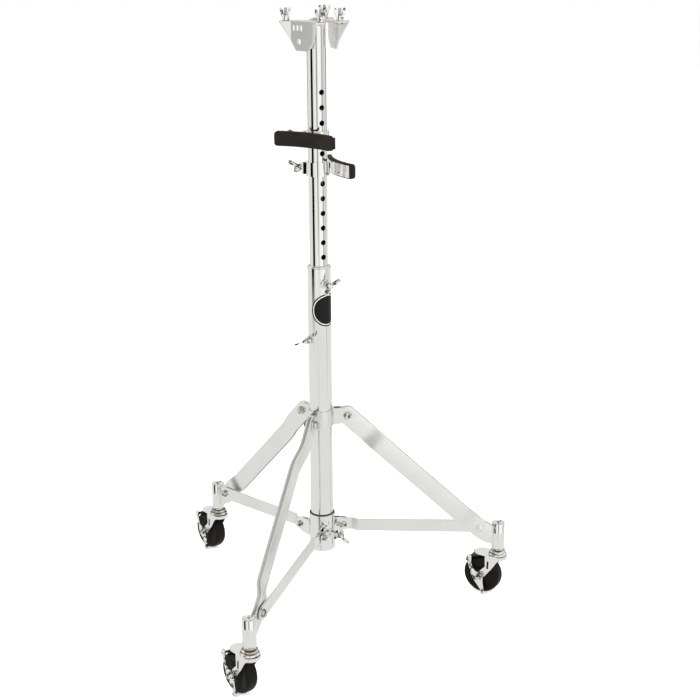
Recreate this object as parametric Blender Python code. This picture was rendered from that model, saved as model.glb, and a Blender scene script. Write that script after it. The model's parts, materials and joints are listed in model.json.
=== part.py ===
"""Double conga stand: a rolling tripod whose telescoping mast carries two bracket plates and two rests.

Metres, +Z up. While it is modelled, the mast axis is the Z axis and the floor is z = 0. An azimuth is counted
about +Z from the front (-Y), positive towards +X. At the end the whole stand is shifted so that the middle of
its bounding box, at floor level, is the origin.
"""
import math

import bmesh
import bpy
from mathutils import Matrix, Vector

for thing in list(bpy.data.objects):
    bpy.data.objects.remove(thing, do_unlink=True)

# Clearances
GAP = 0.0003
PIN_GAP = 0.0003

# Post: the fixed outer tube and the mast that telescopes in it
POST_R = 0.0212
POST_WALL = 0.0020
POST_BOTTOM = 0.120
POST_TOP = 0.6795
MAST_R = 0.0165
MAST_WALL = 0.0020
MAST_BOTTOM = 0.440
MAST_TOP = 1.105
MAST_BUSH_HEIGHT = 0.018
MAST_BUSH_LIP = 0.0030
TOP_BUSH_DEPTH = 0.050
TOP_BUSH_RIM = 0.0030
TOP_BUSH_CHAMFER = 0.0006
HOLE_R = 0.0050
HOLE_TOP = 0.9906
HOLE_PITCH = 0.02645
HOLE_COUNT = 15
HOLE_AZIMUTH = 31.0

# Wing screws that lock the mast: azimuth, drop below the top of the post, turn of the wings
HEIGHT_SCREWS = {"upper": (30.0, 0.0275, 38.0), "lower": (-40.0, 0.1305, 24.0)}
SCREW_R = 0.0038
SCREW_STAND_OFF = 0.0045
BOSS_R = 0.0085
BOSS_REACH = 0.0075

# Wings of a wing screw and of a wing nut
WING_THICKNESS = 0.0032
SCREW_HUB_R = 0.0068
SCREW_HUB_LENGTH = 0.0125
SCREW_WING_SPAN = 0.0195
SCREW_WING_RISE = 0.0185
SCREW_WING_WIDTH = 0.0050

# Tripod: azimuth of each leg
LEGS = {"front": -21.4, "right": 98.6, "left": -141.4}
FOOT_RADIUS = 0.345
LEG_PIVOT = (0.0483, 0.3947)
STRUT_BOLT_INSET = 0.0386
STRUT_BOLT_PLACE = (FOOT_RADIUS - STRUT_BOLT_INSET, 0.1436)
LEG_DEPTH = 0.035
LEG_WIDTH = 0.0090
LEG_WALL = 0.0020
LEG_CRANK = -0.0080
FOOT_TUBE_R = 0.0127
FOOT_TUBE_BORE_R = 0.0062
FOOT_TUBE_BOTTOM = 0.095
FOOT_TUBE_TOP = 0.152
WELD_LOW = 0.108
WELD_HIGH = 0.146
PIVOT_BOLT_R = 0.0040
EAR_THICKNESS = 0.0030
EAR_SHOULDER = 0.010
BRACKET_R = 0.0245
BRACKET_HALF_HEIGHT = 0.0155
EAR_R = 0.0120
# Hexagons of the bolts: radius, height of the head, height of the nut
PIVOT_HEX = (0.0070, 0.0045, 0.0050)
PIN_HEX = (0.0060, 0.0035, 0.0039)
AXLE_HEX = (0.0068, 0.0042, 0.0047)
STRUT_HEX = (0.0068, 0.0047)
HOLE_REACH = 0.03
# Sections of the round end of a leg, as distances behind its pivot
ROUND_END = (0.0168, 0.0150, 0.0110, 0.0055)
# Shares of a leg's length where it has a section, where it is cranked and where it is straight again
LEG_SHARES = (0.0, 0.13, 0.175, 0.215, 0.26, 0.86, 0.885, 0.915, 0.94, 1.0)
CRANK_OUT_SHARES = (0.13, 0.26)
CRANK_BACK_SHARES = (0.86, 0.94)
WELD_SHARES = (0.35, 0.7, 1.0)
WELD_DIP = 0.0035
LEG_STUD_PROUD = 0.0045
FOOT_LIP = 0.0030

# Sliding collar and its three struts
COLLAR_R = 0.0240
COLLAR_BOTTOM = 0.1315
COLLAR_TOP = 0.2045
COLLAR_CHAMFER = 0.0008
COLLAR_PIN_PLACE = (0.0425, 0.1695)
COLLAR_PIN_R = 0.0035
CLEVIS_HALF_HEIGHT = 0.0140
CLEVIS_R = 0.0120
CLEVIS_SHOULDER = 0.008
CLEVIS_BASE_PROUD = 0.0010
COLLAR_SCREW = (55.0, 0.163, -58.0)
STRUT_WIDTH = 0.0254
STRUT_THICKNESS = 0.0045
STRUT_INNER_FACE = 0.0125
STRUT_BOSS_R = 0.0070

# Head: one bracket plate for each drum, about a centre a little off the mast axis
DRUMS = {"left": -33.5, "right": 111.0}
HEAD_OFFSET = (-0.003, 0.0)
SHEET = 0.0030
CAP_THICKNESS = 0.0029
FLANGE_TOP = MAST_TOP + GAP + CAP_THICKNESS + GAP + SHEET
FLANGE_HALF = 0.045
FLANGE_BACK = 0.030
FLANGE_FRONT = 0.045
FACE_DISTANCE = 0.036
FACE_HALF_WIDTH = 0.0225
FACE_LOW_HALF_WIDTH = 0.0125
FACE_HEIGHT = 0.048
WING_PLATE_HEIGHT = 0.032
WING_PLATE_REACH = 0.014
# Corners of the flange: the inner one, then how far the others stand back from its edges
FLANGE_INNER = (0.0065, 0.0135)
FLANGE_BACK_CORNER = (0.0060, 0.0032)
FLANGE_FRONT_CORNER = 0.0030
STUD_R = 0.0030
STUD_PLACE = (0.0330, 0.0355)
STUD_TOP = 0.0215
STUD_HEAD_R = 0.0060
STUD_HEAD = 0.0030
NUT_HUB_R = 0.0058
NUT_HUB_HEIGHT = 0.0085
NUT_WING_SPAN = 0.0105
NUT_WING_RISE = 0.0212
NUT_WING_WIDTH = 0.0026
NUT_WING_THICKNESS = 0.0026
SLOT_ROW = (-0.0170, -0.0095, -0.0020)
SLOT_DROP = 0.0115
SLOT_SIZE = (0.0044, 0.0095)
LOW_SLOT_PLACE = (-0.0060, 0.0340)
LOW_SLOT_SIZE = (0.0053, 0.0095)
NUT_TURN = 12.0
CAP_PLUG_DEPTH = 0.025
HEAD_SCREW_R = 0.0030
HEAD_SCREW_STUB = 0.022
HEAD_WASHER = (0.0115, 0.0012)
HEAD_HEX = (0.0065, 0.0035)

# Padded rests: the drum's direction, height of the collar, height
RESTS = {"upper": (-34.0, 0.911), "lower": (110.0, 0.857)}
REST_COLLAR_R = 0.0205
REST_COLLAR_CHAMFER = 0.0007
REST_HEIGHT = 0.025
REST_SCREW_AZIMUTH = -115.0
REST_SCREW_TURN = 38.0
REST_ARC_R = 0.150
REST_ARC_MIDDLE = 0.037
REST_HALF_ANGLE = 22.9
PAD_THICKNESS = 0.0080
PAD_HEIGHT = 0.026
BAND_THICKNESS = 0.0025
BAND_HEIGHT = 0.022
BAND_HALF_ANGLE = 21.7
BAND_CORNER = 0.006
PAD_CORNER = 0.007
STRIP_STEPS = 12
TUBE_OVERLAP = 0.0020
NECK_WIDTH = 0.020
NECK_HEIGHT = 0.020
LUG_WIDTH = 0.018
LUG_REACH = 0.028
LUG_INSET = 0.002

# Casters: trail direction of each, as an azimuth
CASTER_TRAIL = {"front": -140.3, "right": -121.9, "left": -140.3}
WHEEL_R = 0.0375
WHEEL_HUB_WIDTH = 0.0270
TRAIL = 0.030
AXLE_R = 0.0040
# The side of a wheel from its hub to its tread: radius, then how far in from the hub face
WHEEL_SIDE = ((0.0095, 0.0), (0.0105, 0.0030), (0.0290, 0.0015), (0.0340, 0.0015), (0.0365, 0.0033),
              (WHEEL_R, 0.0070))
FORK_SHEET = 0.0025
FORK_TOP = 0.0800
FORK_PLATE_R = 0.0180
FORK_PLATE_END = TRAIL * 0.55
# Corners of a fork cheek: how far along the trail, then how far below the top or above the axle
CHEEK_BACK = ((-0.0120, 0.0005), (-0.0125, 0.0100))
CHEEK_WAIST = (TRAIL - 0.0100, 0.0020)
CHEEK_END_R = 0.0078
CHEEK_FRONT = ((FORK_PLATE_END + 0.0100, 0.0120), (FORK_PLATE_END, 0.0005))
STEM_R = 0.0058
STEM_TOP = 0.138
STEM_FLANGE_R = 0.0085
STEM_FLANGE = 0.0040
# The swivel head above the fork: radius, then height
SWIVEL_HEAD = ((0.0185, 0.0), (0.0193, 0.0022), (0.0173, 0.0055), (0.0143, 0.0062), (0.0139, 0.0098),
               (0.0105, 0.0112))
LEVER_SHEET = 0.0020
LEVER_HUB_R = 0.0088
LEVER_BRIDGE_R = 0.0430
LEVER_BRIDGE_TILT = 54.0
LEVER_BRIDGE_END_R = 0.0055
# The strap between the cheeks, measured from the bridge: along the trail, up
STRAP = ((-0.0040, 0.0004), (0.0040, -0.0020), (0.0055, 0.0010), (-0.0025, 0.0040))
# The foot spoon beside the wheel, from the axle: its round top, then the neck that passes the swivel head
SPOON_PLACE = (-0.0135, 0.0535)
SPOON_R = 0.0128
SPOON_ARC = (-40.0, 196.0)
SPOON_NECK = ((-0.0188, 0.0450), (-0.0125, 0.0330))
SPOON_ROOT = 0.0060
KNOB_ARM = (0.0050, 0.0036)
KNOB_PLACE = (0.0045, -0.0295)
KNOB_R = 0.0050
KNOB_PROUD = 0.0045
KNOB_CHAMFER = 0.0012

ROUND = 24
SMALL_ROUND = 10
WHEEL_ROUND = 20
HEAD_ROUND = 14


def finish(name, colour, roughness, metallic):
    """A plain Principled material."""
    material = bpy.data.materials.new(name)
    material.use_nodes = True
    shader = material.node_tree.nodes["Principled BSDF"]
    shader.inputs["Base Color"].default_value = (*colour, 1.0)
    shader.inputs["Roughness"].default_value = roughness
    shader.inputs["Metallic"].default_value = metallic
    material.diffuse_color = (*colour, 1.0)
    return material


CHROME = finish("chrome", (0.80, 0.80, 0.78), 0.08, 1.0)
ZINC = finish("zinc", (0.62, 0.61, 0.52), 0.28, 1.0)
RUBBER = finish("pad_rubber", (0.042, 0.034, 0.026), 0.75, 0.0)
WHEEL_BLACK = finish("wheel_black", (0.022, 0.021, 0.017), 0.45, 0.0)
NYLON = finish("black_nylon", (0.03, 0.03, 0.03), 0.5, 0.0)


def frame(name, parent, location=(0, 0, 0), azimuth=90.0):
    """An empty that carries pieces. Its +X points outwards at the azimuth and its +Y is lateral."""
    empty = bpy.data.objects.new(name, None)
    empty.empty_display_size = 0.02
    bpy.context.scene.collection.objects.link(empty)
    empty.parent = parent
    empty.location = location
    empty.rotation_euler = (0, 0, math.radians(azimuth - 90.0))
    return empty


def solid(name, bm, material, parent=None, location=(0, 0, 0), rotation=(0, 0, 0), smooth=True):
    """Turns a bmesh into a named object with outward faces."""
    bmesh.ops.remove_doubles(bm, verts=bm.verts, dist=0.000001)
    bmesh.ops.recalc_face_normals(bm, faces=bm.faces)
    mesh = bpy.data.meshes.new(name)
    bm.to_mesh(mesh)
    bm.free()
    mesh.materials.append(material)
    if smooth:
        mesh.shade_smooth()
        mesh.set_sharp_from_angle(angle=math.radians(35))
    piece = bpy.data.objects.new(name, mesh)
    bpy.context.scene.collection.objects.link(piece)
    piece.parent = parent
    piece.location = location
    piece.rotation_euler = rotation
    return piece


def turned(profile, steps=ROUND):
    """A closed (radius, z) outline spun about Z. Points on the axis close the shape."""
    bm = bmesh.new()
    corners = [bm.verts.new((r, 0, z)) for r, z in profile]
    edges = [bm.edges.new((a, b)) for a, b in zip(corners, corners[1:] + corners[:1])
             if not (a.co.x < 1e-7 and b.co.x < 1e-7)]
    bmesh.ops.spin(bm, geom=corners + edges, cent=(0, 0, 0), axis=(0, 0, 1), angle=math.tau,
                   steps=steps, use_merge=True)
    bmesh.ops.remove_doubles(bm, verts=bm.verts, dist=0.000001)
    return bm


def sleeve(inner, outer, low, high, chamfer=0.0):
    """The outline of a ring with an optional chamfer on its outer edges."""
    if chamfer:
        return [(inner, low), (outer - chamfer, low), (outer, low + chamfer),
                (outer, high - chamfer), (outer - chamfer, high), (inner, high)]
    return [(inner, low), (outer, low), (outer, high), (inner, high)]


def rod(radius, low, high, chamfer=0.0):
    """The outline of a solid cylinder."""
    return [(0, low)] + sleeve(0, radius, low, high, chamfer)[1:-1] + [(0, high)]


def prism(outline, low, high):
    """A flat outline in X and Y, extruded along Z."""
    bm = bmesh.new()
    face = bm.faces.new([bm.verts.new((x, y, low)) for x, y in outline])
    grown = bmesh.ops.extrude_face_region(bm, geom=[face])["geom"]
    rise = [v for v in grown if isinstance(v, bmesh.types.BMVert)]
    bmesh.ops.translate(bm, verts=rise, vec=(0, 0, high - low))
    return bm


def upright(outline, low, high):
    """An outline in X and Z, extruded along +Y from low to high."""
    bm = prism(outline, 0, high - low)
    bmesh.ops.transform(bm, matrix=Matrix(((1, 0, 0, 0), (0, 0, 1, low), (0, 1, 0, 0), (0, 0, 0, 1))),
                        verts=bm.verts)
    return bm


def arc(centre, radius, start, end, steps):
    """Points along an arc, angles in degrees."""
    angles = [math.radians(start + (end - start) * i / steps) for i in range(steps + 1)]
    return [(centre[0] + radius * math.cos(a), centre[1] + radius * math.sin(a)) for a in angles]


def round_bar(start, end, half_start, half_end, steps=5):
    """The outline of a bar with round ends, which may taper."""
    along = math.degrees(math.atan2(end[1] - start[1], end[0] - start[0]))
    return (arc(start, half_start, along + 90, along + 270, steps)
            + arc(end, half_end, along - 90, along + 90, steps))


def lay(bm, axis, location=(0, 0, 0)):
    """Turns a shape made along Z so that it runs along the given axis, then moves it."""
    turn = Vector((0, 0, 1)).rotation_difference(Vector(axis)).to_matrix().to_4x4()
    bmesh.ops.transform(bm, matrix=Matrix.Translation(location) @ turn, verts=bm.verts)
    return bm


def boolean(target, tool_bm, operation):
    """Joins or cuts the target with a shape given in the target's own coordinates, and keeps the result."""
    bmesh.ops.recalc_face_normals(tool_bm, faces=tool_bm.faces)
    mesh = bpy.data.meshes.new("tool")
    tool_bm.to_mesh(mesh)
    tool_bm.free()
    tool = bpy.data.objects.new("tool", mesh)
    bpy.context.scene.collection.objects.link(tool)
    held = (target.parent, target.location.copy(), target.rotation_euler.copy())
    target.parent = None
    target.location = (0, 0, 0)
    target.rotation_euler = (0, 0, 0)
    modifier = target.modifiers.new("shape", "BOOLEAN")
    modifier.operation = operation
    modifier.solver = "EXACT"
    modifier.object = tool
    bpy.context.view_layer.update()
    graph = bpy.context.evaluated_depsgraph_get()
    shaped = bpy.data.meshes.new_from_object(target.evaluated_get(graph))
    target.modifiers.clear()
    target.data = shaped
    bpy.data.objects.remove(tool, do_unlink=True)
    target.parent, target.location, target.rotation_euler = held


def weld(target, tool_bm):
    boolean(target, tool_bm, "UNION")


def cut(target, tool_bm):
    boolean(target, tool_bm, "DIFFERENCE")


def wall_root(inner, outer, lateral):
    """How far out a plate at this lateral distance starts, to be rooted in the middle of a ring's wall."""
    middle = (inner + outer) / 2
    return math.sqrt(middle * middle - lateral * lateral)


def screw_height(key):
    return POST_TOP - HEIGHT_SCREWS[key][1]


def polar(radius, azimuth, height):
    """A point at this distance from the mast axis."""
    a = math.radians(azimuth)
    return (radius * math.sin(a), -radius * math.cos(a), height)


def outward(azimuth):
    return polar(1.0, azimuth, 0.0)


def wing_plates(root, span, rise, width, thickness):
    """The two ears of a wing head either side of an axis along +Z. The root is how far out they start."""
    ears = []
    for side in (1, -1):
        ear = upright(round_bar((side * root, width * 1.1), (side * (span - width), rise - width),
                                width * 0.8, width, 3), -thickness / 2, thickness / 2)
        ears.append(ear)
    return ears


def wing_screw(name, parent, location, axis_azimuth, turn, shank):
    """A wing screw whose origin is the inner face of its hub, with its shank going inwards."""
    hub = [(0, -shank), (SCREW_R, -shank), (SCREW_R, 0), (SCREW_HUB_R, 0),
           (SCREW_HUB_R * 0.78, SCREW_HUB_LENGTH), (0, SCREW_HUB_LENGTH)]
    piece = solid(name, turned(hub, SMALL_ROUND), CHROME)
    for ear in wing_plates(SCREW_HUB_R * 0.55, SCREW_WING_SPAN, SCREW_WING_RISE, SCREW_WING_WIDTH,
                           WING_THICKNESS):
        weld(piece, ear)
    piece.parent = parent
    piece.location = location
    out = Vector(outward(axis_azimuth))
    piece.rotation_euler = (out.to_track_quat("Z", "Y").to_matrix()
                            @ Matrix.Rotation(math.radians(turn), 3, "Z")).to_euler()
    return piece


def boss(azimuth, height, start, reach):
    """A round boss that stands out of a tube."""
    return lay(turned(rod(BOSS_R, start, reach), SMALL_ROUND), outward(azimuth), (0, 0, height))


def screw_hole(azimuth, height, start, reach):
    return lay(turned(rod(SCREW_R + PIN_GAP, start, reach), SMALL_ROUND), outward(azimuth), (0, 0, height))


def build_post(stand):
    """The fixed tube with its screw bosses, the bush in its mouth and the bracket of the leg pivots."""
    inner = POST_R - POST_WALL
    tube = solid("outer_tube", turned(sleeve(inner, POST_R, POST_BOTTOM, POST_TOP)), CHROME, stand)
    for key, (azimuth, _drop, _turn) in HEIGHT_SCREWS.items():
        height = screw_height(key)
        weld(tube, boss(azimuth, height, POST_R - POST_WALL / 2, POST_R + BOSS_REACH))
        cut(tube, screw_hole(azimuth, height, MAST_R / 2, POST_R + BOSS_REACH * 2))

    bush_inner = MAST_R + GAP
    bush_outer = inner - GAP
    rim_low = POST_TOP + GAP
    bush = solid("tube_bush", turned([
        (bush_inner, POST_TOP - TOP_BUSH_DEPTH), (bush_outer, POST_TOP - TOP_BUSH_DEPTH),
        (bush_outer, rim_low), (POST_R, rim_low), (POST_R - TOP_BUSH_CHAMFER, rim_low + TOP_BUSH_RIM),
        (bush_inner, rim_low + TOP_BUSH_RIM)]), NYLON, stand)
    cut(bush, screw_hole(HEIGHT_SCREWS["upper"][0], screw_height("upper"), MAST_R / 2, POST_R + BOSS_REACH))

    for key, (azimuth, _drop, turn) in HEIGHT_SCREWS.items():
        seat = POST_R + BOSS_REACH + SCREW_STAND_OFF
        wing_screw("height_screw_" + key, stand, polar(seat, azimuth, screw_height(key)), azimuth, turn,
                   seat - MAST_R - GAP)

    pivot_r, pivot_z = LEG_PIVOT
    low = pivot_z - BRACKET_HALF_HEIGHT
    high = pivot_z + BRACKET_HALF_HEIGHT
    bracket = solid("leg_bracket", turned(sleeve(POST_R + GAP, BRACKET_R, low, high)), CHROME, stand)
    near = LEG_WIDTH / 2 + GAP
    root = wall_root(POST_R + GAP, BRACKET_R, near)
    ear = ([(root, -BRACKET_HALF_HEIGHT), (pivot_r - EAR_SHOULDER, -BRACKET_HALF_HEIGHT)]
           + arc((pivot_r, 0), EAR_R, -72, 72, 4)
           + [(pivot_r - EAR_SHOULDER, BRACKET_HALF_HEIGHT), (root, BRACKET_HALF_HEIGHT)])
    for azimuth in LEGS.values():
        turn = Matrix.Rotation(math.radians(azimuth - 90), 4, "Z")
        for side in (1, -1):
            faces = sorted((side * near, side * (near + EAR_THICKNESS)))
            plate = upright([(x, z + pivot_z) for x, z in ear], *faces)
            bmesh.ops.transform(plate, matrix=turn, verts=plate.verts)
            weld(bracket, plate)
        hole = lay(turned(rod(PIVOT_BOLT_R + PIN_GAP, -HOLE_REACH, HOLE_REACH), SMALL_ROUND), (0, 1, 0),
                   (pivot_r, 0, pivot_z))
        bmesh.ops.transform(hole, matrix=turn, verts=hole.verts)
        cut(bracket, hole)


def build_bolt(name, parent, hexagon, shank_r, low, high, location=(0, 0, 0)):
    """A bolt and its nut along the lateral axis, clamping what lies between low and high."""
    hex_r, head, nut = hexagon
    piece = solid(name, lay(turned(rod(hex_r, low - head, low), 6), (0, 1, 0)), ZINC)
    weld(piece, lay(turned(rod(shank_r, low - head / 2, high + nut / 2), SMALL_ROUND), (0, 1, 0)))
    weld(piece, lay(turned(rod(hex_r, high, high + nut), 6), (0, 1, 0)))
    piece.parent = parent
    piece.location = location


def smooth_step(value, start, end):
    share = min(1.0, max(0.0, (value - start) / (end - start)))
    return share * share * (3 - 2 * share)


def leg_stations():
    """Cross-sections of a leg, from the round end at its pivot to the weld on the foot tube.

    Each is a top point, a bottom point, both (x, z) from the pivot, and a lateral offset.
    """
    run = Vector((STRUT_BOLT_PLACE[0] - LEG_PIVOT[0], STRUT_BOLT_PLACE[1] - LEG_PIVOT[1]))
    length = run.length
    along = run.normalized()
    across = Vector((-along.y, along.x))
    half = LEG_DEPTH / 2
    stations = []
    for back in ROUND_END:
        depth = math.sqrt(half * half - back * back)
        point = along * -back
        stations.append((point + across * depth, point - across * depth, 0.0))
    for share in LEG_SHARES:
        point = along * (share * length)
        crank = LEG_CRANK * (smooth_step(share, *CRANK_OUT_SHARES) - smooth_step(share, *CRANK_BACK_SHARES))
        stations.append((point + across * half, point - across * half, crank))
    weld_x = FOOT_RADIUS - FOOT_TUBE_R - GAP - LEG_PIVOT[0]
    last_bottom = stations[-1][1]
    end_bottom = Vector((weld_x, WELD_LOW - LEG_PIVOT[1]))
    last_top = stations[-1][0]
    end_top = Vector((weld_x, WELD_HIGH - LEG_PIVOT[1]))
    for share in WELD_SHARES:
        bottom = last_bottom.lerp(end_bottom, share)
        bottom.y -= WELD_DIP * math.sin(math.pi * share)
        stations.append((last_top.lerp(end_top, share), bottom, 0.0))
    return stations


def build_leg_bar(name, parent):
    """The pressed channel of a leg: its web on top, open below, cranked sideways to pass the strut."""
    bm = bmesh.new()
    rings = []
    for top, bottom, offset in leg_stations():
        down = (bottom - top).normalized()
        outer = LEG_WIDTH / 2
        inner = outer - LEG_WALL
        web = top + down * min(LEG_WALL, (bottom - top).length * 0.45)
        section = [(bottom, -outer), (top, -outer), (top, outer), (bottom, outer),
                   (bottom, inner), (web, inner), (web, -inner), (bottom, -inner)]
        rings.append([bm.verts.new((p.x, offset + y, p.y)) for p, y in section])
    for first, second in zip(rings, rings[1:]):
        for i in range(8):
            j = (i + 1) % 8
            bm.faces.new((first[i], first[j], second[j], second[i]))
    bm.faces.new(rings[0])
    bm.faces.new(list(reversed(rings[-1])))
    piece = solid(name, bm, CHROME)
    cut(piece, lay(turned(rod(PIVOT_BOLT_R + PIN_GAP, -HOLE_REACH, HOLE_REACH), SMALL_ROUND), (0, 1, 0)))
    place = (STRUT_BOLT_PLACE[0] - LEG_PIVOT[0], 0, STRUT_BOLT_PLACE[1] - LEG_PIVOT[1])
    wall = LEG_WIDTH / 2 - LEG_WALL / 2
    back = -wall - LEG_STUD_PROUD
    front = STRUT_INNER_FACE - 2 * GAP
    stud = turned([(0, back), (STRUT_BOSS_R, back), (STRUT_BOSS_R, -wall), (PIVOT_BOLT_R, -wall),
                   (PIVOT_BOLT_R, wall), (STRUT_BOSS_R, wall), (STRUT_BOSS_R, front), (0, front)],
                  SMALL_ROUND)
    weld(piece, lay(stud, (0, 1, 0), place))
    piece.parent = parent
    return piece


def build_wheel(name, parent):
    """A hard rubber wheel with a rounded tread, dished faces and a hub that stands proud."""
    hub = WHEEL_HUB_WIDTH / 2
    side = [(AXLE_R + PIN_GAP, hub)] + [(r, hub - depth) for r, depth in WHEEL_SIDE]
    outline = side + [(r, -z) for r, z in reversed(side)]
    solid(name, lay(turned(outline, WHEEL_ROUND), (0, 1, 0)), WHEEL_BLACK, parent)


def build_fork(name, parent):
    """The pressed fork: a round top plate and two tapering cheeks down to the axle. Its origin is on the
    swivel axis at floor level, with +X along the trail."""
    cheek_in = WHEEL_HUB_WIDTH / 2 + GAP
    cheek_out = cheek_in + FORK_SHEET
    top = FORK_TOP
    plate = ([(FORK_PLATE_END, -cheek_out), (FORK_PLATE_END, cheek_out)]
             + arc((0, 0), FORK_PLATE_R, 100, 260, 10))
    piece = solid(name, prism(plate, top - FORK_SHEET, top), CHROME)
    cheek = ([(x, top - drop) for x, drop in CHEEK_BACK] + [(CHEEK_WAIST[0], WHEEL_R + CHEEK_WAIST[1])]
             + arc((TRAIL, WHEEL_R), CHEEK_END_R, 190, 350, 6)
             + [(x, top - drop) for x, drop in CHEEK_FRONT])
    for side in (1, -1):
        faces = sorted((side * cheek_in, side * cheek_out))
        weld(piece, upright(cheek, *faces))
    cut(piece, lay(turned(rod(AXLE_R + PIN_GAP, -HOLE_REACH, HOLE_REACH), SMALL_ROUND), (0, 1, 0),
                   (TRAIL, 0, WHEEL_R)))
    cut(piece, turned(rod(STEM_R + PIN_GAP, top - 2 * FORK_SHEET, top + FORK_SHEET), SMALL_ROUND))
    piece.parent = parent


def build_brake(name, parent):
    """The brake lever: a strap over the wheel, hinged on the axle, with a foot spoon and a knob arm on the
    near side. Its origin is on the axle."""
    near = WHEEL_HUB_WIDTH / 2 + 2 * GAP + FORK_SHEET
    far = near + LEVER_SHEET
    tilt = math.radians(LEVER_BRIDGE_TILT)
    bridge = Vector((LEVER_BRIDGE_R * math.cos(tilt), LEVER_BRIDGE_R * math.sin(tilt)))
    cheek = round_bar((0, 0), tuple(bridge), LEVER_HUB_R, LEVER_BRIDGE_END_R, 5)
    piece = solid(name, upright(cheek, near, far), CHROME)
    weld(piece, upright(cheek, -far, -near))
    weld(piece, upright(round_bar((0, 0), KNOB_PLACE, *KNOB_ARM, 4), near, far))
    knob = turned(rod(KNOB_R, near - GAP, far + KNOB_PROUD, KNOB_CHAMFER), SMALL_ROUND)
    weld(piece, lay(knob, (0, 1, 0), (KNOB_PLACE[0], 0, KNOB_PLACE[1])))
    weld(piece, upright([tuple(bridge + Vector(corner)) for corner in STRAP], -far, far))
    spoon = arc(SPOON_PLACE, SPOON_R, *SPOON_ARC, 10) + list(SPOON_NECK) + [(-SPOON_ROOT, 0), (SPOON_ROOT, 0)]
    weld(piece, upright(spoon, near, far))
    cut(piece, lay(turned(rod(AXLE_R + PIN_GAP, -HOLE_REACH, HOLE_REACH), SMALL_ROUND), (0, 1, 0)))
    piece.parent = parent


def build_caster(key, leg, foot):
    """Swivel head and stem on the leg, then the fork that swivels, its axle, wheel and brake."""
    seat = FORK_TOP + GAP
    under = FORK_TOP - FORK_SHEET - GAP
    stem = turned([(0, under - STEM_FLANGE), (STEM_FLANGE_R, under - STEM_FLANGE), (STEM_FLANGE_R, under),
                   (STEM_R, under), (STEM_R, seat)] + [(r, seat + rise) for r, rise in SWIVEL_HEAD]
                  + [(SWIVEL_HEAD[-1][0], FOOT_TUBE_BOTTOM - GAP), (STEM_R, FOOT_TUBE_BOTTOM - GAP),
                     (STEM_R, STEM_TOP), (0, STEM_TOP)], HEAD_ROUND)
    solid("caster_head_" + key, stem, ZINC, leg, foot)

    swivel = frame("swivel_" + key, leg, foot)
    swivel.rotation_euler = (0, 0, math.radians(CASTER_TRAIL[key] - LEGS[key]))
    build_fork("caster_fork_" + key, swivel)
    axle = frame("axle_frame_" + key, swivel, (TRAIL, 0, WHEEL_R))
    lever_out = WHEEL_HUB_WIDTH / 2 + 2 * GAP + FORK_SHEET + LEVER_SHEET
    build_bolt("axle_bolt_" + key, axle, AXLE_HEX, AXLE_R, -lever_out - GAP, lever_out + GAP)
    build_wheel("wheel_" + key, axle)
    build_brake("brake_lever_" + key, axle)


def build_strut(key, heading):
    """A flat strut from the collar to the leg, with the bolt that it carries at its outer end."""
    pin_r, pin_z = COLLAR_PIN_PLACE
    run = Vector((STRUT_BOLT_PLACE[0] - pin_r, STRUT_BOLT_PLACE[1] - pin_z))
    pivot = frame("strut_pivot_" + key, heading, (pin_r, 0, pin_z))
    inner = STRUT_INNER_FACE
    outer = inner + STRUT_THICKNESS
    half = STRUT_WIDTH / 2
    flat = upright(round_bar((0, 0), tuple(run), half * 0.92, half, 5), inner, outer)
    bar = solid("strut_" + key, flat, CHROME)
    cut(bar, lay(turned(rod(COLLAR_PIN_R + PIN_GAP, 0, HOLE_REACH), SMALL_ROUND), (0, 1, 0)))
    cut(bar, lay(turned(rod(PIVOT_BOLT_R + PIN_GAP, 0, HOLE_REACH), SMALL_ROUND), (0, 1, 0),
                 (run.x, 0, run.y)))
    bar.parent = pivot
    hex_r, height = STRUT_HEX
    seat = outer + GAP
    head = solid("strut_bolt_" + key, lay(turned(rod(hex_r, seat, seat + height), 6), (0, 1, 0)), ZINC)
    weld(head, lay(turned(rod(PIVOT_BOLT_R, inner, seat + height / 2), SMALL_ROUND), (0, 1, 0)))
    head.parent = pivot
    head.location = (run.x, 0, run.y)


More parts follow.
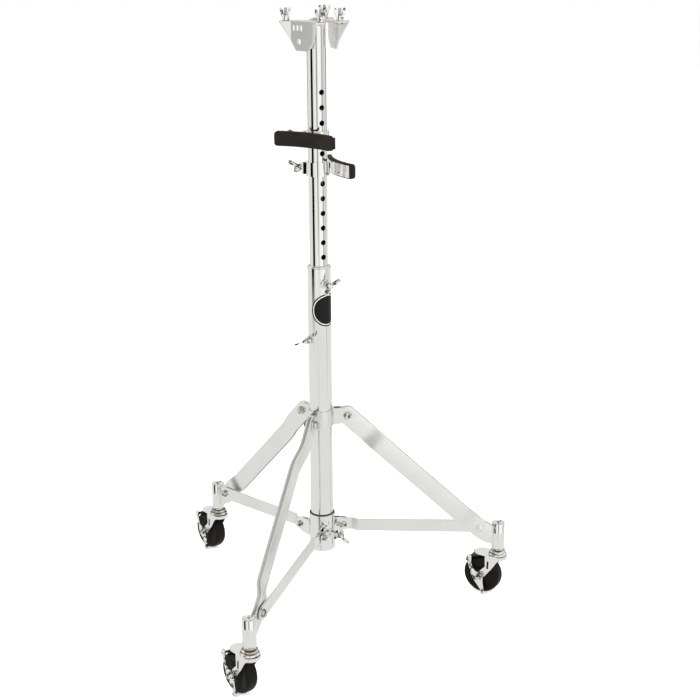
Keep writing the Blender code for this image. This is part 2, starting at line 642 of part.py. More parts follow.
def build_collar(stand):
    """The sliding hub: a sleeve round the post, three clevises and the boss of its wing screw."""
    slide = frame("collar_slide", stand)
    pin_r, pin_z = COLLAR_PIN_PLACE
    bore = POST_R + GAP
    body = sleeve(bore, COLLAR_R, COLLAR_BOTTOM, COLLAR_TOP, COLLAR_CHAMFER)
    hub = solid("collar", turned(body), CHROME, slide)
    near = STRUT_INNER_FACE - GAP
    far = STRUT_INNER_FACE + STRUT_THICKNESS + GAP
    half = CLEVIS_HALF_HEIGHT
    for azimuth in LEGS.values():
        turn = Matrix.Rotation(math.radians(azimuth - 90), 4, "Z")
        plates = []
        for face in (near - EAR_THICKNESS, far):
            root = wall_root(bore, COLLAR_R, face)
            ear = ([(root, pin_z - half), (pin_r - CLEVIS_SHOULDER, pin_z - half)]
                   + arc((pin_r, pin_z), CLEVIS_R, -75, 75, 4)
                   + [(pin_r - CLEVIS_SHOULDER, pin_z + half), (root, pin_z + half)])
            plates.append(upright(ear, face, face + EAR_THICKNESS))
        side = near - EAR_THICKNESS / 2
        back = wall_root(bore, COLLAR_R, side)
        front = COLLAR_R + CLEVIS_BASE_PROUD
        base = [(back, pin_z - half), (front, pin_z - half), (front, pin_z + half), (back, pin_z + half)]
        plates.append(upright(base, side, far + EAR_THICKNESS / 2))
        for plate in plates:
            bmesh.ops.transform(plate, matrix=turn, verts=plate.verts)
            weld(hub, plate)
        hole = lay(turned(rod(COLLAR_PIN_R + PIN_GAP, 0, HOLE_REACH), SMALL_ROUND), (0, 1, 0),
                   (pin_r, 0, pin_z))
        bmesh.ops.transform(hole, matrix=turn, verts=hole.verts)
        cut(hub, hole)
    azimuth, height, turn = COLLAR_SCREW
    reach = COLLAR_R + BOSS_REACH
    weld(hub, boss(azimuth, height, (bore + COLLAR_R) / 2, reach))
    cut(hub, screw_hole(azimuth, height, POST_R / 2, reach + BOSS_REACH))
    seat = reach + SCREW_STAND_OFF
    wing_screw("collar_screw", slide, polar(seat, azimuth, height), azimuth, turn, seat - POST_R - GAP)
    for key, azimuth in LEGS.items():
        heading = frame("strut_heading_" + key, slide, azimuth=azimuth)
        build_bolt("collar_pin_" + key, heading, PIN_HEX, COLLAR_PIN_R, near - EAR_THICKNESS - GAP,
                   far + EAR_THICKNESS + GAP, (pin_r, 0, pin_z))
        build_strut(key, heading)


def build_tripod(stand):
    """Three legs with their pivot bolts, foot tubes and casters."""
    for key, azimuth in LEGS.items():
        heading = frame("leg_heading_" + key, stand, azimuth=azimuth)
        pivot = frame("leg_pivot_" + key, heading, (LEG_PIVOT[0], 0, LEG_PIVOT[1]))
        seat = LEG_WIDTH / 2 + GAP + EAR_THICKNESS + GAP
        build_bolt("leg_pivot_bolt_" + key, heading, PIVOT_HEX, PIVOT_BOLT_R, -seat, seat,
                   (LEG_PIVOT[0], 0, LEG_PIVOT[1]))
        build_leg_bar("leg_bar_" + key, pivot)
        foot = (FOOT_RADIUS - LEG_PIVOT[0], 0, -LEG_PIVOT[1])
        top = FOOT_TUBE_TOP
        tube = turned([(FOOT_TUBE_BORE_R, FOOT_TUBE_BOTTOM), (FOOT_TUBE_R, FOOT_TUBE_BOTTOM),
                       (FOOT_TUBE_R, top - FOOT_LIP / 4), (FOOT_TUBE_R - FOOT_LIP / 4, top),
                       (FOOT_TUBE_R - FOOT_LIP * 0.6, top), (FOOT_TUBE_R - FOOT_LIP * 0.7, top - FOOT_LIP),
                       (FOOT_TUBE_BORE_R, top - FOOT_LIP)], HEAD_ROUND)
        solid("foot_tube_" + key, tube, CHROME, pivot, foot)
        build_caster(key, pivot, foot)


def build_head_bracket(key, azimuth, mast_frame):
    """A folded plate: a flange across the mast top, a face that hangs from it, and two flared wings."""
    mid = FLANGE_TOP - SHEET / 2
    low = mid - FACE_HEIGHT
    wing_low = mid - WING_PLATE_HEIGHT
    tip = FACE_DISTANCE + WING_PLATE_REACH
    tip_side = FACE_HALF_WIDTH + WING_PLATE_REACH
    bm = bmesh.new()

    def corner(x, y, z=mid):
        return bm.verts.new((x, y, z))

    half = {}
    for side in (1, -1):
        half[side] = {
            "inner": corner(FLANGE_INNER[0], side * FLANGE_INNER[1]),
            "back": corner(FLANGE_BACK - FLANGE_BACK_CORNER[0], side * (FLANGE_HALF - FLANGE_BACK_CORNER[1])),
            "end_back": corner(FLANGE_BACK, side * FLANGE_HALF),
            "end_front": corner(FLANGE_FRONT - FLANGE_FRONT_CORNER, side * FLANGE_HALF),
            "tip": corner(tip, side * tip_side),
            "fold": corner(FACE_DISTANCE, side * FACE_HALF_WIDTH),
            "wing_low": corner(FACE_DISTANCE, side * FACE_HALF_WIDTH, wing_low),
            "low": corner(FACE_DISTANCE, side * FACE_LOW_HALF_WIDTH, low),
        }
    right = half[1]
    left = half[-1]
    order = ("inner", "back", "end_back", "end_front", "tip", "fold")
    bm.faces.new([left[k] for k in order] + [right[k] for k in reversed(order)])
    hanging = ("fold", "wing_low", "low")
    bm.faces.new([left[k] for k in hanging] + [right[k] for k in reversed(hanging)])
    for side in (left, right):
        bm.faces.new([side["fold"], side["tip"], side["wing_low"]])
    bmesh.ops.recalc_face_normals(bm, faces=bm.faces)
    heading = frame("head_heading_" + key, mast_frame, (*HEAD_OFFSET, 0), azimuth)
    piece = solid("head_bracket_" + key, bm, CHROME, smooth=False)
    thicken = piece.modifiers.new("sheet", "SOLIDIFY")
    thicken.thickness = SHEET
    thicken.offset = 0
    thicken.use_even_offset = True
    slots = [(y, SLOT_DROP, SLOT_SIZE) for y in SLOT_ROW] + [(*LOW_SLOT_PLACE, LOW_SLOT_SIZE)]
    for y, drop, (width, height) in slots:
        straight = height / 2 - width / 2
        outline = round_bar((y, FLANGE_TOP - drop - straight), (y, FLANGE_TOP - drop + straight), width / 2,
                            width / 2, 3)
        hole = prism([(-v, u) for u, v in outline], FACE_DISTANCE - 0.01, FACE_DISTANCE + 0.01)
        bmesh.ops.transform(hole, matrix=Matrix(((0, 0, 1, 0), (0, 1, 0, 0), (-1, 0, 0, 0), (0, 0, 0, 1))),
                            verts=hole.verts)
        cut(piece, hole)
    for side in (1, -1):
        x, y = STUD_PLACE
        stud = turned([(0, FLANGE_TOP - SHEET - STUD_HEAD), (STUD_HEAD_R, FLANGE_TOP - SHEET - STUD_HEAD),
                       (STUD_HEAD_R, FLANGE_TOP - SHEET / 2), (STUD_R, FLANGE_TOP - SHEET / 2),
                       (STUD_R, FLANGE_TOP + STUD_TOP), (0, FLANGE_TOP + STUD_TOP)], SMALL_ROUND)
        bmesh.ops.translate(stud, verts=stud.verts, vec=(x, side * y, 0))
        weld(piece, stud)
        nut = solid("wing_nut_" + key + ("_b" if side > 0 else "_a"),
                    turned([(STUD_R + PIN_GAP, 0), (NUT_HUB_R, 0), (NUT_HUB_R * 0.8, NUT_HUB_HEIGHT),
                            (STUD_R + PIN_GAP, NUT_HUB_HEIGHT)], SMALL_ROUND), CHROME)
        root = STUD_R + PIN_GAP + NUT_WING_WIDTH
        for ear in wing_plates(root, NUT_WING_SPAN, NUT_WING_RISE, NUT_WING_WIDTH, NUT_WING_THICKNESS):
            weld(nut, ear)
        nut.parent = heading
        nut.location = (x, side * y, FLANGE_TOP + GAP)
        nut.rotation_euler = (0, 0, math.radians(-azimuth + 90 + NUT_TURN * side))
    piece.parent = heading


def build_mast(stand):
    """The telescoping mast, its hole row, its foot bush, its top cap and the screw through the brackets."""
    mast_frame = frame("mast_slide", stand)
    inner = MAST_R - MAST_WALL
    mast = solid("mast_tube", turned(sleeve(inner, MAST_R, MAST_BOTTOM, MAST_TOP)), CHROME, mast_frame)
    for i in range(HOLE_COUNT):
        hole = turned(rod(HOLE_R, MAST_R / 2, MAST_R + MAST_WALL), SMALL_ROUND)
        cut(mast, lay(hole, outward(HOLE_AZIMUTH), (0, 0, HOLE_TOP - i * HOLE_PITCH)))

    bush_outer = POST_R - POST_WALL - GAP
    floor = MAST_BOTTOM - GAP
    rim = MAST_BOTTOM + MAST_BUSH_HEIGHT
    bore = inner - MAST_BUSH_LIP
    solid("mast_foot_bush", turned([
        (bore, floor - MAST_BUSH_LIP), (bush_outer, floor - MAST_BUSH_LIP), (bush_outer, rim),
        (MAST_R + GAP, rim), (MAST_R + GAP, floor), (bore, floor)]), NYLON, mast_frame)

    disc_low = MAST_TOP + GAP
    disc_high = disc_low + CAP_THICKNESS
    hole = HEAD_SCREW_R + PIN_GAP
    solid("mast_cap", turned([
        (hole, MAST_TOP - CAP_PLUG_DEPTH), (inner - GAP, MAST_TOP - CAP_PLUG_DEPTH), (inner - GAP, disc_low),
        (MAST_R, disc_low), (MAST_R, disc_high), (hole, disc_high)]), CHROME, mast_frame)
    washer_low = FLANGE_TOP + GAP
    tip = MAST_TOP - HEAD_SCREW_STUB
    washer_r, washer = HEAD_WASHER
    hex_r, hex_high = HEAD_HEX
    screw = solid("head_screw", turned([
        (0, tip), (HEAD_SCREW_R, tip), (HEAD_SCREW_R, washer_low), (washer_r, washer_low),
        (washer_r, washer_low + washer), (0, washer_low + washer)], HEAD_ROUND), ZINC, mast_frame)
    weld(screw, turned(rod(hex_r, washer_low + washer / 2, washer_low + hex_high), 6))
    for key, azimuth in DRUMS.items():
        build_head_bracket(key, azimuth, mast_frame)
    return mast_frame


def bent_strip(radius_in, radius_out, half_angle, half_height, corner, steps):
    """A strip bent about Z with its middle at -X of the arc centre, whose corners are rounded."""
    bm = bmesh.new()
    angles = [-half_angle + 2 * half_angle * i / steps for i in range(steps + 1)]
    corner_angle = math.degrees(corner / radius_out)
    extra = [half_angle - corner_angle * (1 - math.cos(math.radians(a))) for a in (0, 30, 60)]
    marks = sorted(set([round(a, 5) for a in angles if abs(a) < half_angle - corner_angle] +
                       [round(s * a, 5) for a in extra for s in (1, -1)] +
                       [round(s * (half_angle - corner_angle), 5) for s in (1, -1)]))
    rings = []
    for angle in marks:
        over = max(0.0, abs(angle) - (half_angle - corner_angle)) / corner_angle
        height = half_height - corner * (1 - math.sqrt(max(0.0, 1 - over * over)))
        a = math.radians(180 - angle)
        rings.append([bm.verts.new((r * math.cos(a), r * math.sin(a), z))
                      for r, z in sleeve(radius_in, radius_out, -height, height)])
    for first, second in zip(rings, rings[1:]):
        for i in range(4):
            j = (i + 1) % 4
            bm.faces.new((first[i], first[j], second[j], second[i]))
    bm.faces.new(rings[0])
    bm.faces.new(list(reversed(rings[-1])))
    return bm


def build_rest(key, azimuth, height, mast_frame):
    """A collar on the mast with its lug and wing screw, a neck, a curved steel band and its rubber pad."""
    slide = frame("rest_slide_" + key, mast_frame, (0, 0, height))
    heading = frame("rest_heading_" + key, slide, azimuth=azimuth)
    half = REST_HEIGHT / 2
    body = sleeve(MAST_R + GAP, REST_COLLAR_R, -half, half, REST_COLLAR_CHAMFER)
    collar = solid("rest_collar_" + key, turned(body), CHROME)
    pad_out = REST_ARC_R + PAD_THICKNESS
    band_in = pad_out + GAP
    band_out = band_in + BAND_THICKNESS
    centre = REST_ARC_MIDDLE + REST_ARC_R
    neck_end = centre - band_out - GAP
    start = MAST_R + TUBE_OVERLAP
    neck = [(start, -NECK_WIDTH / 2), (neck_end, -NECK_WIDTH / 2), (neck_end, NECK_WIDTH / 2),
            (start, NECK_WIDTH / 2)]
    weld(collar, prism(neck, -NECK_HEIGHT / 2, NECK_HEIGHT / 2))
    away = REST_SCREW_AZIMUTH - azimuth
    turn = Matrix.Rotation(math.radians(away), 4, "Z")
    lug = prism([(start, -LUG_WIDTH / 2), (LUG_REACH, -LUG_WIDTH / 2), (LUG_REACH, LUG_WIDTH / 2),
                 (start, LUG_WIDTH / 2)], -half + LUG_INSET, half - LUG_INSET)
    bmesh.ops.transform(lug, matrix=turn, verts=lug.verts)
    weld(collar, lug)
    hole = lay(turned(rod(SCREW_R + PIN_GAP, MAST_R / 2, LUG_REACH + 0.01), SMALL_ROUND), (1, 0, 0))
    bmesh.ops.transform(hole, matrix=turn, verts=hole.verts)
    cut(collar, hole)
    collar.parent = heading
    seat = LUG_REACH + SCREW_STAND_OFF
    wing_screw("rest_screw_" + key, slide, polar(seat, REST_SCREW_AZIMUTH, 0), REST_SCREW_AZIMUTH,
               REST_SCREW_TURN, seat - MAST_R - GAP)

    band = bent_strip(band_in, band_out, BAND_HALF_ANGLE, BAND_HEIGHT / 2, BAND_CORNER, STRIP_STEPS)
    solid("rest_band_" + key, band, CHROME, heading, (centre, 0, 0))
    pad = bent_strip(REST_ARC_R, pad_out, REST_HALF_ANGLE, PAD_HEIGHT / 2, PAD_CORNER, STRIP_STEPS)
    solid("rest_pad_" + key, pad, RUBBER, heading, (centre, 0, 0))


def centre_on_origin(stand):
    """Shifts the stand so that the origin is the middle of its bounding box at floor level."""
    bpy.context.view_layer.update()
    graph = bpy.context.evaluated_depsgraph_get()
    points = []
    for piece in bpy.context.scene.objects:
        if piece.type == "MESH" and not piece.hide_render:
            shape = piece.evaluated_get(graph)
            points += [shape.matrix_world @ v.co for v in shape.data.vertices]
    low = [min(p[i] for p in points) for i in range(3)]
    high = [max(p[i] for p in points) for i in range(3)]
    stand.location = (-(low[0] + high[0]) / 2, -(low[1] + high[1]) / 2, -low[2])
    size = [round(h - l, 5) for l, h in zip(low, high)]
    print("shift", [round(v, 6) for v in stand.location], "size", size)


def main():
    stand = frame("stand", None)
    build_post(stand)
    mast_frame = build_mast(stand)
    for key, (azimuth, height) in RESTS.items():
        build_rest(key, azimuth, height, mast_frame)
    build_collar(stand)
    build_tripod(stand)
    centre_on_origin(stand)


main()
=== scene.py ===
"""The finish of the double conga stand: plated tubes, pressed legs, cast wing screws, rubber rests, casters.

Every piece is modelled in the frame of the joint or tube that it belongs to, then its place is applied to
its mesh. Metres. In that frame +X points outwards, +Y is lateral and +Z is up, unless its function says more.
"""
import json
from math import atan2, cos, degrees, hypot, pi, radians, sin, sqrt, tau

import bmesh
import bpy
from mathutils import Matrix, Vector


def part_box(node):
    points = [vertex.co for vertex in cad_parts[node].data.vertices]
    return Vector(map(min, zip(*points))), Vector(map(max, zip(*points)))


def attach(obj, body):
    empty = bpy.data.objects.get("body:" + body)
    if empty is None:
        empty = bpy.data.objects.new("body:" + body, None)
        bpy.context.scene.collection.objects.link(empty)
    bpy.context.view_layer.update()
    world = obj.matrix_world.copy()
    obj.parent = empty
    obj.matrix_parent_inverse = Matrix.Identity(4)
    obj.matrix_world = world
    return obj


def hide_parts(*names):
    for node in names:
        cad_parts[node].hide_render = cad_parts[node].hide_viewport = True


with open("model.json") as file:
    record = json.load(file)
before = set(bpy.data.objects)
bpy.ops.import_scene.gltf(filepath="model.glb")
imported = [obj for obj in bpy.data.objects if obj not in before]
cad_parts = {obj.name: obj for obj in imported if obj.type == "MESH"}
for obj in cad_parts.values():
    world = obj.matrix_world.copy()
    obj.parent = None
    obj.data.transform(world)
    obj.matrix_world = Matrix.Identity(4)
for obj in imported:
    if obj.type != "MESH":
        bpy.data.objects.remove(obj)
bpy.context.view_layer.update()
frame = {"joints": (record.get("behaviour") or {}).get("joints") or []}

JOINTS = {joint["name"]: joint for joint in frame["joints"]}
LEG_KEYS = ("front", "right", "left")
DRUM_KEYS = ("left", "right")
REST_KEYS = ("upper", "lower")
UP = Vector((0, 0, 1))


def middle(node):
    low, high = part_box(node)
    return (Vector(low) + Vector(high)) / 2


def low_z(node):
    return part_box(node)[0][2]


def high_z(node):
    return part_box(node)[1][2]


MAST_AXIS = Vector((middle("mast_tube").x, middle("mast_tube").y, 0))
AXIS = Matrix.Translation(MAST_AXIS)


def lateral_basis(origin, lateral):
    """The frame whose +Y is a level lateral direction and whose +X points outwards."""
    lateral = Vector(lateral).normalized()
    out = lateral.cross(UP)
    columns = Matrix((out, lateral, UP)).transposed().to_4x4()
    return Matrix.Translation(Vector(origin)) @ columns


def heading_basis(azimuth, height=0.0):
    """The frame on the mast axis whose +X points outwards at an azimuth."""
    a = radians(azimuth)
    return lateral_basis(MAST_AXIS + Vector((0, 0, height)), (cos(a), sin(a), 0))


def place_of(joint):
    return Vector(JOINTS[joint]["pos_m"])


def joint_basis(joint):
    """The frame of a level joint: +Y along its axis."""
    return lateral_basis(place_of(joint), JOINTS[joint]["axis"])


def azimuth_of(joint):
    """The azimuth that a level joint axis points to."""
    x, y, _z = JOINTS[joint]["axis"]
    return degrees(atan2(x, -y))


def reach_of(joint):
    """How far the place of a joint is from the mast axis."""
    place = place_of(joint) - MAST_AXIS
    return hypot(place.x, place.y)


def height_of(joint):
    return JOINTS[joint]["pos_m"][2]


def screw_basis(joint, turn):
    """The frame of a screw: +Z along its axis, away from what it enters, turned by an angle."""
    upward = Vector(JOINTS[joint]["axis"]).to_track_quat("Z", "Y").to_matrix().to_4x4()
    return Matrix.Translation(place_of(joint)) @ upward @ Matrix.Rotation(radians(turn), 4, "Z")


# Sizes that the fine pieces share with the frame
GAP = 0.0003
MAST_R = 0.0165
MAST_BORE = 0.0145
POST_R = 0.0212
POST_BORE = 0.0192
HOLE_R = 0.0049
HOLE_TOP = 0.9906
HOLE_PITCH = 0.02645
HOLE_COUNT = 15
HOLE_AZIMUTH = 31.0
BADGE_AZIMUTH = 43.0
BADGE_HEIGHT = 0.603
BADGE_R = 0.0305

# The joint of each wing screw, the tube that its tip stops at, and the turn of its wings
SCREWS = {
    "height_screw_upper": ("height_screw_turn_upper", MAST_R, 38.0),
    "height_screw_lower": ("height_screw_turn_lower", MAST_R, 24.0),
    "collar_screw": ("collar_screw_turn", POST_R, -58.0),
    "rest_screw_upper": ("rest_screw_turn_upper", MAST_R, 38.0),
    "rest_screw_lower": ("rest_screw_turn_lower", MAST_R, 38.0),
}
SCREW_R = 0.0036
SCREW_HOLE_R = SCREW_R + 0.0002
SCREW_HUB_R = 0.0066
SCREW_HUB_LENGTH = 0.0124
BOSS_R = 0.0085
BOSS_REACH = 0.0075
PIN_HOLE_R = 0.0041

LEG_DEPTH = 0.0348
LEG_WIDTH = 0.0090
LEG_WALL = 0.0016
LEG_LIP = 0.0034
LEG_CRANK = -0.0080
LEG_PIVOT_R = 0.0483
BRACKET_R = 0.0243
BRACKET_HALF = 0.0153
EAR_THICKNESS = 0.0028
COLLAR_R = 0.0240
COLLAR_PIN_R = 0.0425
STRUT_RUN = (0.2639, -0.0259)
STRUT_WIDTH = 0.0252
STRUT_THICKNESS = 0.0040
STRUT_INNER = 0.0127
STRUT_OUTER = 0.0060
STRUT_JOGGLE = (0.0160, 0.0280)
STRUT_BOLT_PLACE = (0.2581, -0.2511)
CLEVIS_SHEET = 0.0030
CLEVIS_NEAR = STRUT_INNER - 0.0005
CLEVIS_FAR = STRUT_INNER + 0.0045 + GAP
FOOT_R = 0.0126
FOOT_OUT = 0.2967
FOOT_DROP = 0.3947
WELD_SPAN = (0.108, 0.146)

FACE_DISTANCE = 0.036
FACE_HALF_WIDTH = 0.0225
FACE_LOW_HALF = 0.0125
FACE_HEIGHT = 0.048
SHEET = 0.0028
WING_PLATE_HEIGHT = 0.032
WING_PLATE_REACH = 0.014
FLANGE_HALF = 0.0445
FLANGE_BACK = 0.030
FLANGE_FRONT = 0.0450
STUD_PLACE = (0.0330, 0.0355)
SLOT_ROW = (-0.0170, -0.0095, -0.0020)
SLOT_HEIGHT = 0.0095

REST_AZIMUTH = {"upper": -34.0, "lower": 110.0}
REST_COLLAR_R = 0.0203
REST_COLLAR_HALF = 0.0124
PAD_ARC_R = 0.150
PAD_MIDDLE = 0.037
PAD_THICKNESS = 0.0080
PAD_HALF_ANGLE = 22.7
PAD_HEIGHT = 0.0256
BAND_THICKNESS = 0.0022
BAND_HALF_ANGLE = 21.2
BAND_HEIGHT = 0.0216

WHEEL_R = 0.0374
WHEEL_HALF = 0.0119
WHEEL_HUB_HALF = 0.0134
TRAIL = 0.030
FORK_SHEET = 0.0023
CROWN_UP = 0.0462
CROWN_R = 0.0190
CROWN_END = 0.0170
CROWN_SKIRT = 0.0066
HEAD_SEAT = 0.0840
HEAD_TOP = 0.0992
BRAKE_KNOB = (-0.0090, -0.0322)
SHOE_REACH = (0.0388, 0.0420)
SHOE_ANGLES = (41, 86)


class Wire:
    """A shader value. Sums on it add the Math or Vector Math nodes that they need."""

    def __init__(self, paint, socket):
        self.paint = paint
        self.socket = socket

    def maths(self, operation, *others, turned=False):
        values = [self, *others]
        if turned:
            values.reverse()
        return self.paint.node("Math", dict(enumerate(values)), operation=operation)

    def __add__(self, other):
        return self.maths("ADD", other)

    __radd__ = __add__

    def __mul__(self, other):
        return self.maths("MULTIPLY", other)

    __rmul__ = __mul__

    def __sub__(self, other):
        return self.maths("SUBTRACT", other)

    def __rsub__(self, other):
        return self.maths("SUBTRACT", other, turned=True)

    def __neg__(self):
        return self.maths("MULTIPLY", -1.0)

    def step(self, start, end):
        """0 below start and 1 above end, smooth between."""
        return self.paint.node("MapRange", {0: self, 1: start, 2: end}, interpolation_type="SMOOTHSTEP")

    def absolute(self):
        return self.maths("ABSOLUTE")


class Paint:
    """One node tree, of a finish or of the studio's light."""

    def __init__(self, owner):
        owner.use_nodes = True
        self.owner = owner
        self.tree = owner.node_tree
        self.tree.nodes.clear()

    def node(self, kind, sockets=(), out=0, **settings):
        """Adds a node: its type, its settings, then its sockets. Gives back one output, or a list of them."""
        made = self.tree.nodes.new("ShaderNode" + kind)
        for key, value in settings.items():
            setattr(made, key, value)
        for key, value in dict(sockets).items():
            if isinstance(value, Wire):
                self.tree.links.new(value.socket, made.inputs[key])
            else:
                made.inputs[key].default_value = value
        wires = [Wire(self, socket) for socket in made.outputs]
        if out == "all":
            return wires
        return wires[out] if wires else None

    def place(self):
        return self.node("TexCoord", out=3)

    def xyz(self, vector):
        return self.node("SeparateXYZ", {0: vector}, out="all")

    def grain(self, size, detail=3.0, rough=0.55, stretch=None):
        """Noise whose patches are about this many metres across."""
        where = self.place()
        if stretch:
            where = self.node("Mapping", {"Vector": where, "Scale": stretch})
        return self.node("TexNoise", {"Vector": where, "Scale": 1.0 / size, "Detail": detail,
                                      "Roughness": rough})

    def blend(self, share, first, second):
        return self.node("Mix", {0: share, 6: first, 7: second}, out=2, data_type="RGBA")

    def bump(self, height, distance):
        return self.node("Bump", {"Height": height, "Distance": distance, "Strength": 1.0})


def colour(red, green, blue):
    return (red, green, blue, 1.0)


def surface(name, sockets, build=None):
    """A finish on a Principled shader; build returns the sockets that vary over the surface."""
    material = bpy.data.materials.new(name)
    paint = Paint(material)
    sockets = dict(sockets)
    if build:
        sockets.update(build(paint))
    shader = paint.node("BsdfPrincipled", sockets)
    paint.node("OutputMaterial", {"Surface": shader})
    return material


def bright_chrome(paint):
    """Plated tube: nearly clean, with faint hand smears and a very slight orange peel."""
    smear = paint.grain(0.060, 4.0, 0.6, (1.0, 1.0, 0.35)).step(0.45, 0.75)
    speck = paint.grain(0.004, 2.0).step(0.62, 0.80)
    return {"Base Color": paint.blend(smear * 0.5, colour(0.86, 0.86, 0.84), colour(0.80, 0.80, 0.775)),
            "Roughness": smear * 0.050 + speck * 0.04 + 0.035,
            "Normal": paint.bump(paint.grain(0.012, 2.0), 0.00002)}


def seamed_chrome(paint):
    """The mast's plating: as the tubes, with the fine weld seam that runs through its row of holes."""
    sockets = bright_chrome(paint)
    x, y, _z = paint.xyz(paint.place())
    heading = paint.node("Math", {0: x - MAST_AXIS.x, 1: MAST_AXIS.y - y}, operation="ARCTAN2")
    off = (heading - radians(HOLE_AZIMUTH)).absolute()
    seam = 1.0 - off.step(0.020, 0.055)
    sockets["Base Color"] = paint.blend(seam * 0.75, sockets["Base Color"], colour(0.22, 0.21, 0.19))
    sockets["Roughness"] = sockets["Roughness"] + seam * 0.25
    return sockets


def pressed_chrome(paint):
    """Plated pressed steel: a softer mirror with faint rolling marks."""
    smear = paint.grain(0.050, 4.0).step(0.40, 0.78)
    rolling = paint.grain(0.0035, 3.0, 0.6)
    return {"Base Color": paint.blend(smear * 0.6, colour(0.86, 0.865, 0.835), colour(0.81, 0.815, 0.78)),
            "Roughness": smear * 0.07 + rolling * 0.05 + 0.24,
            "Normal": paint.bump(paint.grain(0.03, 2.0), 0.00008)}


def satin_plate(paint):
    """The head brackets: plating over blasted sheet, an even pale grey."""
    smear = paint.grain(0.020, 4.0).step(0.35, 0.80)
    fine = paint.grain(0.0008, 2.0)
    return {"Base Color": paint.blend(smear * 0.5, colour(0.93, 0.925, 0.90), colour(0.86, 0.85, 0.82)),
            "Roughness": smear * 0.06 + fine * 0.08 + 0.42,
            "Normal": paint.bump(fine, 0.00002)}


def cast_chrome(paint):
    """Plated casting of the wings: bright and wavy, with painted shade in its hollows and painted dark patches
    that stand for what a wavy mirror shows.
    """
    wave = paint.grain(0.005, 3.0)
    # Painted shade: concave places are darkened and dulled, as if shade fell in the hollows.
    hollow_shade = paint.node("NewGeometry", out=7).step(0.50, 0.42)
    # Painted reflection: dark patches of colour for the dark surroundings that a wavy mirror would show.
    patch = paint.grain(0.0075, 1.5, 0.5).step(0.535, 0.575)
    plate = paint.blend(hollow_shade, colour(0.88, 0.875, 0.85), colour(0.40, 0.38, 0.32))
    return {"Base Color": paint.blend(patch * 0.9, plate, colour(0.055, 0.052, 0.045)),
            "Roughness": wave * 0.08 + hollow_shade * 0.2 + 0.06,
            "Normal": paint.bump(wave, 0.00008)}


def pale_zinc(paint):
    """Zinc of the bolts and studs: a warm grey bloom, and painted dark patches that stand for what small facets
    mirror.
    """
    bloom = paint.grain(0.010, 4.0, 0.6).step(0.35, 0.70)
    fine = paint.grain(0.0014, 3.0)
    # Painted reflection: dark patches of colour for the dark surroundings that small facets would mirror.
    patch = paint.grain(0.0060, 1.5, 0.5).step(0.53, 0.58)
    plate = paint.blend(bloom, colour(0.80, 0.80, 0.78), colour(0.62, 0.61, 0.56))
    return {"Base Color": paint.blend(patch * 0.88, plate, colour(0.070, 0.070, 0.062)),
            "Roughness": fine * 0.15 + bloom * 0.08 + 0.12,
            "Normal": paint.bump(fine, 0.00003)}


def turned_zinc(paint):
    """The swivel heads: as the bolts, with a painted dark line at each pressed step that stands for the dark
    reflection each step mirrors.
    """
    _x, _y, z = paint.xyz(paint.place())
    # Painted reflection: a dark line of colour at each pressed step, shown where the noise patch allows.
    painted_step_lines = 0.0
    for rise, half in ((0.0006, 0.0010), (0.0058, 0.0013), (0.0110, 0.0010)):
        painted_step_lines = painted_step_lines + (1.0 - (z - (HEAD_SEAT + rise)).absolute().step(half * 0.6, half))
    patch = paint.grain(0.016, 1.5, 0.5)
    painted_step_lines = painted_step_lines * patch.step(0.34, 0.50)
    plate = paint.blend(patch.step(0.45, 0.60), colour(0.92, 0.91, 0.85), colour(0.50, 0.48, 0.36))
    fine = paint.grain(0.0014, 3.0)
    return {"Base Color": paint.blend(painted_step_lines * 0.92, plate, colour(0.055, 0.050, 0.030)),
            "Roughness": fine * 0.12 + 0.12,
            "Normal": paint.bump(fine, 0.00002)}


def pad_rubber(paint):
    """Matt moulded rubber, brown-black, with a fine pebble and a pale bloom of dust."""
    cell = paint.node("TexVoronoi", {"Vector": paint.place(), "Scale": 900.0})
    dust = paint.grain(0.030, 5.0, 0.6).step(0.40, 0.80)
    return {"Base Color": paint.blend(dust, colour(0.0125, 0.0092, 0.0062), colour(0.0205, 0.0158, 0.0112)),
            "Roughness": dust * 0.15 + 0.58,
            "Normal": paint.bump(cell + paint.grain(0.002) * 0.6, 0.00012)}


def wheel_rubber(paint):
    """Hard wheel rubber: satin black, scuffed and dusty on the tread."""
    dust = paint.grain(0.020, 5.0, 0.65).step(0.45, 0.80)
    fine = paint.grain(0.0012, 3.0)
    return {"Base Color": paint.blend(dust, colour(0.0042, 0.0038, 0.0029), colour(0.0110, 0.0095, 0.0070)),
            "Roughness": dust * 0.20 + fine * 0.12 + 0.38,
            "Normal": paint.bump(fine + dust * 0.5, 0.00006)}


def nylon(paint):
    fine = paint.grain(0.0010, 3.0)
    return {"Base Color": paint.blend(fine, colour(0.022, 0.022, 0.022), colour(0.040, 0.039, 0.037)),
            "Roughness": fine * 0.2 + 0.38,
            "Normal": paint.bump(fine, 0.00004)}


def enamel(paint):
    """The plain dark disc: gloss enamel with fine scratches."""
    scratch = paint.grain(0.003, 4.0, 0.7, (1.0, 1.0, 0.1))
    black = paint.blend(scratch, colour(0.0050, 0.0046, 0.0036), colour(0.0100, 0.0092, 0.0074))
    return {"Base Color": black, "Roughness": scratch * 0.14 + 0.22}


